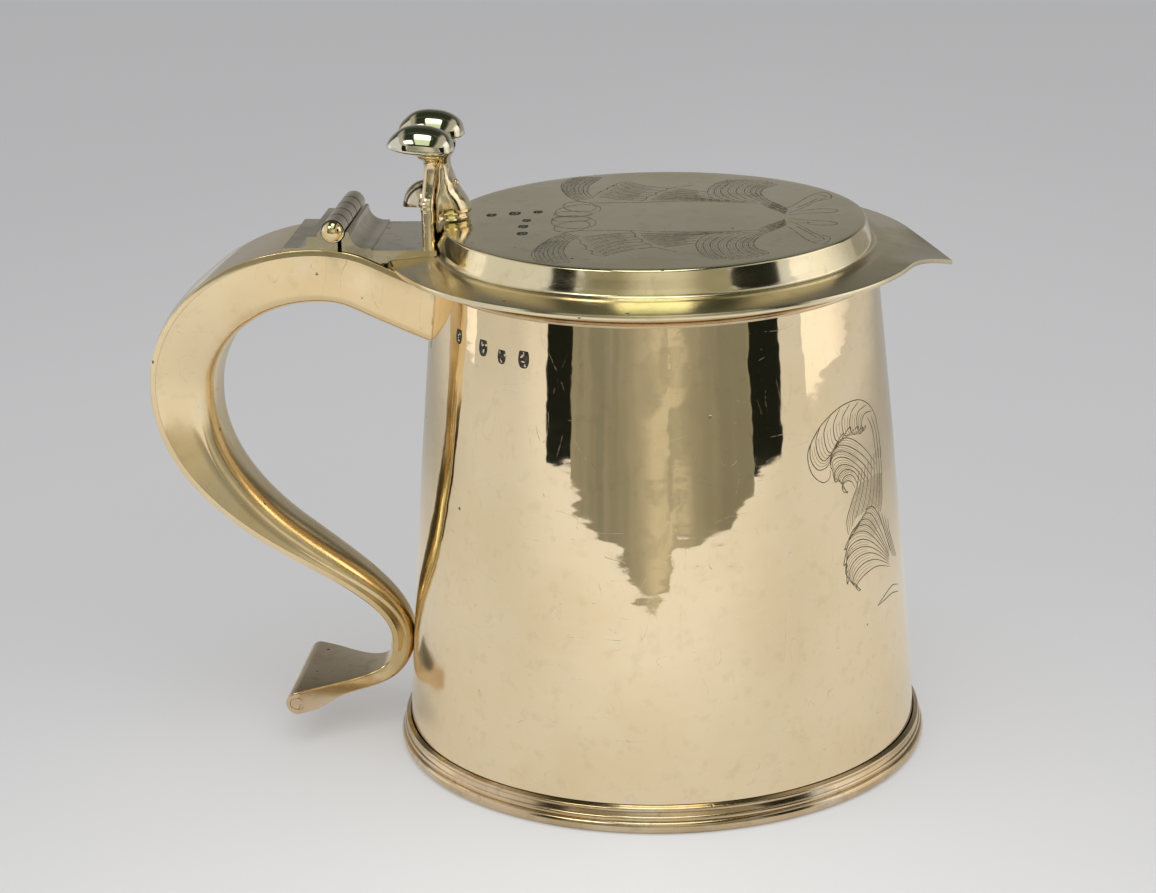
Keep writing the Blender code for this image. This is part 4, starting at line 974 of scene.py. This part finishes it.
lidGuides = [
    (1, 0.0, [[(27.4, -14.8), (15.4, -16.6), (2.6, -16.7), (-4.5, -15.9), (-12.9, -15.5), (-20.5, -16.7),
               (-25.6, -25.9), (-28, -37.6), (-26.4, -45.3), (-23.7, -48.4)]]),
    (7, 0.4, [[(-21.5, -18.8), (-26.3, -28.9), (-27.3, -38.8), (-25.2, -46.8)],
              [(-19.6, -19.1), (-23.2, -27.8), (-24.1, -37.7), (-21.5, -47.8)],
              [(-17.5, -20.7), (-19.7, -27.9), (-20.2, -36.6), (-17.6, -47)]]),
    (1, 0.0, [[(-18.2, -23.3), (-16.8, -26.4), (-16.8, -28.4), (-14.9, -32), (-14.9, -34.3), (-12.9, -37),
               (-12.9, -39.2), (-10.3, -41.9)]]),
    (7, 0.0, [[(-4.3, -18.3), (-10, -19.3), (-16.7, -22.8)], [(-3, -22.5), (-8.3, -24.5), (-14.1, -30.5)],
              [(-1.1, -27.6), (-5.4, -28.6), (-9.4, -33.6), (-11.9, -38.5)],
              [(2.4, -32.6), (-3.1, -35.1), (-7.2, -38.5), (-9.7, -41.9)]]),
    (1, 0.0, [[(-5.2, -15.9), (-3.4, -19.9), (-3.4, -22), (-1.2, -25.6), (-1.3, -27.6), (1.1, -30.3), (1.4, -32.1),
               (3.7, -34), (8.1, -37.4)]]),
    (7, 0.0, [[(23.6, -16.5), (12.2, -17.7), (-2.3, -18.8)], [(16.1, -19.2), (8, -21.4), (-1.1, -23.5)],
              [(12.5, -23.5), (7, -26), (0.8, -28.1)], [(12.2, -28.5), (8.5, -30.5), (4.6, -32.5)]]),
    (9, 0.5, [[(19.2, -17.1), (14.3, -20.8), (12.5, -29.3), (13.9, -37.9), (16.6, -43.1)],
              [(24.9, -16.4), (20, -20.8), (17.2, -29.3), (18.9, -39), (21.9, -43.5)],
              [(28.1, -17.4), (25.1, -22.2), (23.2, -29.2), (24.4, -36.5), (27.6, -41.3)],
              [(29.1, -19.5), (27.7, -23.1), (26.9, -27.8), (27.7, -33.2), (30.7, -37.1)]]),
    (5, 0.0, [[(27.4, -14.8), (29.8, -9.9), (32.3, -6.1), (34.1, -2.7)],
              [(28.5, -19.5), (30.9, -15.8), (33.1, -12), (34.6, -8.1)]]),
]
lidRibbons = [[(35, -4), (39, -11), (42, -18), (46, -22), (44, -29), (40, -24), (36, -13), (33, -8)],
              [(37, -10), (40, -16), (42.5, -22)], [(42, -26), (44.5, -24), (43, -20)],
              [(35, -2), (40, -4), (46, -5), (47.5, -8), (43, -9), (37, -6)]]
lidLoops = [((-20.5, -6.5), 5.6, 7.2, 24), ((-20.5, -11.0), 4.2, 6.2, -20), ((-21.5, -2.6), 5.0, 3.4, 0)]


def plume(guides, closeness=1):
    # the fine strokes between the cuts stop short of the roots, where cuts run together
    strokes = []
    for count, hook, lines in guides:
        if closeness == 1:
            strokes += fan(lines, count, hook)
        elif count > 4:
            strokes += [stroke[6:] for stroke in fan(lines, (count - 1) * closeness + 1, 0.0)]
    return strokes


def mirrored(strokes, sideX, sideY):
    return strokes + [[(x * sideX, y * sideY) for x, y in stroke] for stroke in strokes]


punchSizes = {"width": 3.4, "height": 4.2, "rings": (0.0, 0.35, 0.7, 0.95, 1.0, 1.0),
              "lifts": (0.02, 0.02, 0.02, 0.02, 0.01, -0.12),
              "pellets": [(-0.16, 0.14), (0.18, 0.2), (0.05, -0.12), (-0.1, -0.26)], "pelletRise": 0.07}
drumPunches = [(-143.4, 120.6, 0.9), (-133.0, 119.9, 1.0), (-126.4, 118.9, 0.85), (-119.6, 119.3, 1.05)]
lidPunches = [(-43.0, 2.3, 0.8), (-37.0, 3.8, 0.95), (-31.0, 5.2, 0.75), (-33.0, -4.2, 0.7), (-33.2, -10.9, 0.8),
              (-32.6, -18.4, 0.85)]


def punch(name, places, onSurface, body):
    # blank worn shields with a few pellets left standing in each
    fields, pellets = bmesh.new(), bmesh.new()
    for along, up, scale in places:
        def place(index, share):
            k = round(share * 5)
            c, s = math.cos(math.tau * index / 24), math.sin(math.tau * index / 24)
            grow = punchSizes["rings"][k] * scale / 2
            x = math.copysign(abs(c) ** 0.7, c) * punchSizes["width"] * grow
            y = (min(s, 0.72) / 0.72 if s > 0 else -abs(s) ** 1.1) * punchSizes["height"] * grow
            return onSurface(along + x, up + y, punchSizes["lifts"][k])
        rolled(fields, 24, 5, place)
        for turn, (shiftX, shiftY) in enumerate(punchSizes["pellets"]):
            chance = [noise.noise(Vector((along * 3.1 + row, up * 2.3, turn * 7.7))) for row in (0.3, 11.3, 23.3)]
            spotX = along + (chance[0] * 0.5 + shiftX) * punchSizes["width"] * scale
            spotY = up + (chance[1] * 0.5 + shiftY) * punchSizes["height"] * scale
            bead = bmesh.ops.create_uvsphere(pellets, u_segments=10, v_segments=6, radius=scale)["verts"]
            long, short, tilt = 0.52 + chance[2] * 0.5, 0.26 + chance[0] * 0.2, math.pi * chance[1] * 2
            for vert in bead:
                x, y = vert.co.x * long, vert.co.y * short
                vert.co = onSurface(spotX + x * math.cos(tilt) - y * math.sin(tilt),
                                    spotY + x * math.sin(tilt) + y * math.cos(tilt),
                                    vert.co.z * punchSizes["pelletRise"])
    finish(name + "Field", closed(fields), punched, body)
    finish(name + "Pellets", pellets, "giltWorn", body)


engraved = {"vessel": darkMaterial("engravedDrum", (0.09, 0.075, 0.05), (0.22, 0.18, 0.11), 0.35),
            "lid": darkMaterial("engravedLid", (0.13, 0.125, 0.09), (0.28, 0.26, 0.19), 0.35)}
punched = darkMaterial("punchedField", (0.02, 0.02, 0.018), (0.09, 0.08, 0.06), 0.4)


def buildMarks():
    engrave("drumEngraving", mirrored(plume(drumGuides), -1, 1), onDrum, "vessel")
    engrave("drumHatching", mirrored(plume(drumGuides, 3), -1, 1), onDrum, "vessel", cutSizes["hatch"])
    strokes = plume(lidGuides) + [smoothPath(line) for line in lidRibbons] + [ring(*loop) for loop in lidLoops]
    engrave("lidEngraving", mirrored(strokes, 1, -1), onLidTop, "lid", cutSizes["lidWidth"])
    engrave("lidHatching", mirrored(plume(lidGuides, 3), 1, -1), onLidTop, "lid", cutSizes["hatch"])
    unit = cutSizes["drumUnit"]
    punch("drumPunch", [(math.radians(angle) * unit, z, scale) for angle, z, scale in drumPunches], onDrum, "vessel")
    punch("lidPunch", lidPunches, onLidTop, "lid")


for build in (buildDrum, buildBase, buildFoot, buildLip, buildHandle, buildTail, buildHandlePlate, buildLid,
              buildBezel, buildLidPlate, buildKnuckles, buildPin, buildStem, buildSpur, buildScroll, buildLobes,
              buildMarks):
    build()
    print("stage", build.__name__)


# Studio: floor, back wall and cards that only the metal sees
# floor tones from near to far are painted darker to stand in for the light falling off; the shine tones are the
# floor's painted reflection, and lift is the floor's painted glow
studio = {"floorNear": (0.96, 0.955, 0.945), "floorMiddle": (0.567, 0.567, 0.577), "floorFar": (0.515, 0.515, 0.525),
          "shineNear": (0.86, 0.855, 0.838), "shineMiddle": (0.71, 0.705, 0.688), "shineFar": (0.43, 0.43, 0.425),
          "world": 0.60, "worldShine": 0.74, "keyPower": 20.4, "lift": 0.375, "floorShare": 0.6, "keySize": 2.0,
          "keyPlace": (0.15, -0.75, 1.65), "keyAim": (0.0, 0.0, 0.05)}
screens = {"wallLow": (0.33, 0.33, 0.322), "wallHigh": (0.09, 0.09, 0.08), "blackLow": (0.012, 0.014, 0.011),
           "blackHigh": (0.02, 0.022, 0.016), "oliveDark": (0.235, 0.235, 0.185), "olivePale": (0.31, 0.30, 0.24),
           "oliveMiddle": (0.46, 0.44, 0.35), "oliveMottle": (0.62, 0.58, 0.46), "canopy": (0.035, 0.045, 0.03),
           "canopyRight": (0.52, 0.50, 0.44), "canopyLeft": (0.50, 0.48, 0.42), "lamp": (4.6, 4.4, 3.9),
           "upperSide": (0.33, 0.315, 0.23), "upperMiddle": (0.74, 0.69, 0.57), "windowLow": (0.80, 0.97, 0.66),
           "windowHigh": (3.0, 3.0, 2.8), "sideLow": (0.9, 0.87, 0.83), "sideHigh": (1.35, 1.3, 1.25),
           "lowNear": (1.12, 1.09, 1.05), "lowFar": (0.52, 0.51, 0.49)}


def sheet(name, corners, material, seen=True):
    bm = bmesh.new()
    bm.faces.new([bm.verts.new(corner) for corner in corners])
    mesh = bpy.data.meshes.new(name)
    bm.to_mesh(mesh)
    bm.free()
    mesh.materials.append(material)
    item = bpy.data.objects.new(name, mesh)
    bpy.context.collection.objects.link(item)
    if not seen:
        item.visible_camera = item.visible_diffuse = item.visible_shadow = item.visible_transmission = False


def floorMaterial():
    material, spot = newMaterial("floorPaper")
    across = spot.part(0) - axisX
    aside = across.maths("ABSOLUTE", across)
    # the floor is painted darker towards the back and the sides, standing in for the light falling off
    depth = spot.part(1) + spot.cloud(6.0, 3.0) * 0.04 + aside * 1.2
    tint = depth.rise(-0.36, 0.42).pick(studio["floorNear"], studio["floorMiddle"])
    tint = depth.rise(0.35, 1.2).pick(tint, studio["floorFar"])
    # reflections see the floor in painted tones of their own: painted reflection
    shine = Wire(spot.tree, spot.tree.nodes.new("ShaderNodeLightPath").outputs["Is Glossy Ray"])
    depth = spot.part(1) + aside * 0.35
    glint = depth.rise(-0.32, -0.02).pick(studio["shineNear"], studio["shineMiddle"])
    glint = (depth.rise(0.12, 0.36) * (1 - aside.rise(0.28, 0.56) * 0.85)).pick(glint, studio["shineFar"])
    tint = shine.pick(tint, glint)
    # the paper also glows, a painted light that keeps its shadows pale
    toSurface(tint.make("ShaderNodeBsdfPrincipled", {},
                        {"Base Color": tint.scaled((studio["floorShare"],) * 3), "Roughness": 0.8,
                         "Specular IOR Level": 0.1, "Emission Color": tint, "Emission Strength": studio["lift"]}))
    return material


def glow(name, key, lowZ=0.0, highZ=1.0):
    # a screen that brightens from one height to another
    material, spot = newMaterial(name)
    level = spot.part(2).rise(lowZ, highZ) + (spot.cloud(9.0, 3.0) - 0.5) * 0.2
    tint = level.pick(screens[key + "Low"], screens[key + "High"])
    toGlow(tint)
    return material


def oliveMaterial():
    material, spot = newMaterial("screenOlive")
    streak = spot.scaled((1.0, 1.0, 0.3)).cloud(11.0, 3.0)
    mottle = spot.scaled((9.0, 9.0, 46.0)).cloud(1.0, 3.0, 0.6)
    middle = spot.part(0).near(axisX + 0.06, 0.11)
    broad = spot.part(0).near(axisX + 0.06, 0.20)
    tint = streak.rise(0.40, 0.62).pick(screens["oliveDark"], screens["olivePale"])
    tint = (broad * 0.8).pick(tint, screens["oliveMiddle"])
    tint = (middle.rise(0.05, 0.7) * mottle.rise(0.40, 0.60)).pick(tint, screens["oliveMottle"])
    toGlow(tint)
    return material


def canopyMaterial():
    material, spot = newMaterial("canopyDark")
    across = spot.part(0) - axisX
    tint = across.rise(0.68, 1.05).pick(screens["canopy"], screens["canopyRight"])
    tint = across.rise(-0.75, -1.15).pick(tint, screens["canopyLeft"])
    ahead = spot.part(1)
    lamp = across.near(-0.72, 0.42).rise(0.0, 0.5) * ahead.near(-0.90, 0.36).rise(0.0, 0.5)
    tint = lamp.pick(tint, screens["lamp"])
    toGlow(tint)
    return material


def upperMaterial():
    material, spot = newMaterial("screenUpper")
    middle = spot.part(0).near(axisX + 0.08, 0.42)
    tint = middle.rise(0.25, 0.95).pick(screens["upperSide"], screens["upperMiddle"])
    toGlow(tint)
    return material


def lowMaterial():
    material, spot = newMaterial("lowGlow")
    tint = spot.part(1).rise(0.02, 0.56).pick(screens["lowNear"], screens["lowFar"])
    toGlow(tint)
    return material


def standing(name, points, low, high, material, tops=None):
    # a folding screen over points on the floor
    tops = tops or points
    for index in range(len(points) - 1):
        foot = [(x + axisX, y, low) for x, y in points[index:index + 2]]
        head = [(x + axisX, y, high) for x, y in tops[index:index + 2]]
        sheet(f"{name}.{index}", foot + head[::-1], material, False)


def buildStudio():
    sheet("floor", [(-4, -4, 0), (4, -4, 0), (4, 4, 0), (-4, 4, 0)], floorMaterial())
    black = glow("screenBlack", "black")
    standing("barLeft", [(-0.483, -0.428), (-0.390, -0.581)], 0.001, 0.44, black, [(-0.50, -0.40), (-0.412, -0.54)])
    standing("barRight", [(0.470, -0.446), (0.545, -0.272)], 0.001, 0.44, black, [(0.444, -0.472), (0.58, -0.19)])
    standing("upper", [(-0.42, -0.64), (0.03, -0.68), (0.5, -0.54)], 0.16, 0.48, upperMaterial())
    standing("screen", [(-0.345, -0.478), (-0.215, -0.458), (-0.135, -0.441), (-0.066, -0.41), (-0.031, -0.362),
                        (0.013, -0.336), (0.053, -0.37), (0.072, -0.42), (0.09, -0.437), (0.203, -0.408),
                        (0.271, -0.372), (0.317, -0.395), (0.42, -0.383)], 0.001, 0.15, oliveMaterial())
    standing("backWall", [(-2.5, 1.6), (2.5, 1.6)], 0.0, 3.0, glow("wallGrey", "wall", 0.25, 1.15))
    canopy = canopyMaterial()
    sheet("canopy", [(-1.7, -1.6, 1.0), (1.7, -1.6, 1.0), (1.7, 0.35, 1.7), (-1.7, 0.35, 1.7)], canopy, False)
    sheet("canopyBack", [(-1.7, 0.36, 1.69), (1.7, 0.36, 1.69), (1.7, 1.55, 1.5), (-1.7, 1.55, 1.5)], canopy, False)
    window = glow("windowGlow", "window", 1.30, 1.50)
    sheet("window", [(-0.26, -1.27, 1.1), (0.36, -1.27, 1.1), (0.36, 0.1, 1.59), (-0.26, 0.1, 1.59)], window, False)
    bright = glow("sideGlow", "side", 0.2, 0.9)
    standing("sideCard", [(1.6, -0.3), (1.6, 1.0)], 0.2, 1.3, bright)
    low = lowMaterial()
    standing("lowRight", [(0.75, -0.16), (0.75, 0.60)], 0.001, 0.3, low)
    standing("lowLeft", [(-0.75, 0.05), (-0.75, 0.60)], 0.001, 0.3, low)


def buildLights():
    world = bpy.data.worlds.new("studioWorld")
    bpy.context.scene.world = world
    world.use_nodes = True
    tree = world.node_tree
    path = Wire(tree, tree.nodes.new("ShaderNodeLightPath").outputs["Is Glossy Ray"])
    level = path.pick((studio["world"],) * 3, (studio["worldShine"],) * 3)
    tree.links.new(level.out, tree.nodes["Background"].inputs["Color"])
    data = bpy.data.lights.new("keyLight", "AREA")
    data.shape = "RECTANGLE"
    data.size = data.size_y = studio["keySize"]
    data.energy = studio["keyPower"]
    key = bpy.data.objects.new("keyLight", data)
    middle = Vector((axisX, 0, 0))
    key.location = middle + Vector(studio["keyPlace"])
    key.rotation_euler = (key.location - middle - Vector(studio["keyAim"])).to_track_quat("Z", "Y").to_euler()
    key.visible_glossy = False
    key.visible_camera = False
    bpy.context.collection.objects.link(key)


cameraSizes = {"lens": 2870 * 36 / 1156, "sensor": 36.0, "place": (0.05098, -0.72907, 0.31741),
               "ahead": (-0.09399, 0.94667, -0.30819), "right": (0.99555, 0.09133, -0.02308)}


def buildCamera():
    s = cameraSizes
    data = bpy.data.cameras.new("camera")
    data.lens, data.sensor_width = s["lens"], s["sensor"]
    camera = bpy.data.objects.new("camera", data)
    ahead, right = Vector(s["ahead"]), Vector(s["right"])
    turn = Matrix((right, right.cross(ahead).normalized(), -ahead)).transposed().to_4x4()
    camera.matrix_world = Matrix.Translation(Vector(s["place"]) + Vector((axisX, 0, 0))) @ turn
    bpy.context.collection.objects.link(camera)
    bpy.context.scene.camera = camera
    bpy.context.scene.view_settings.view_transform = "Standard"


buildStudio()
buildLights()
buildCamera()
print("stage studio")
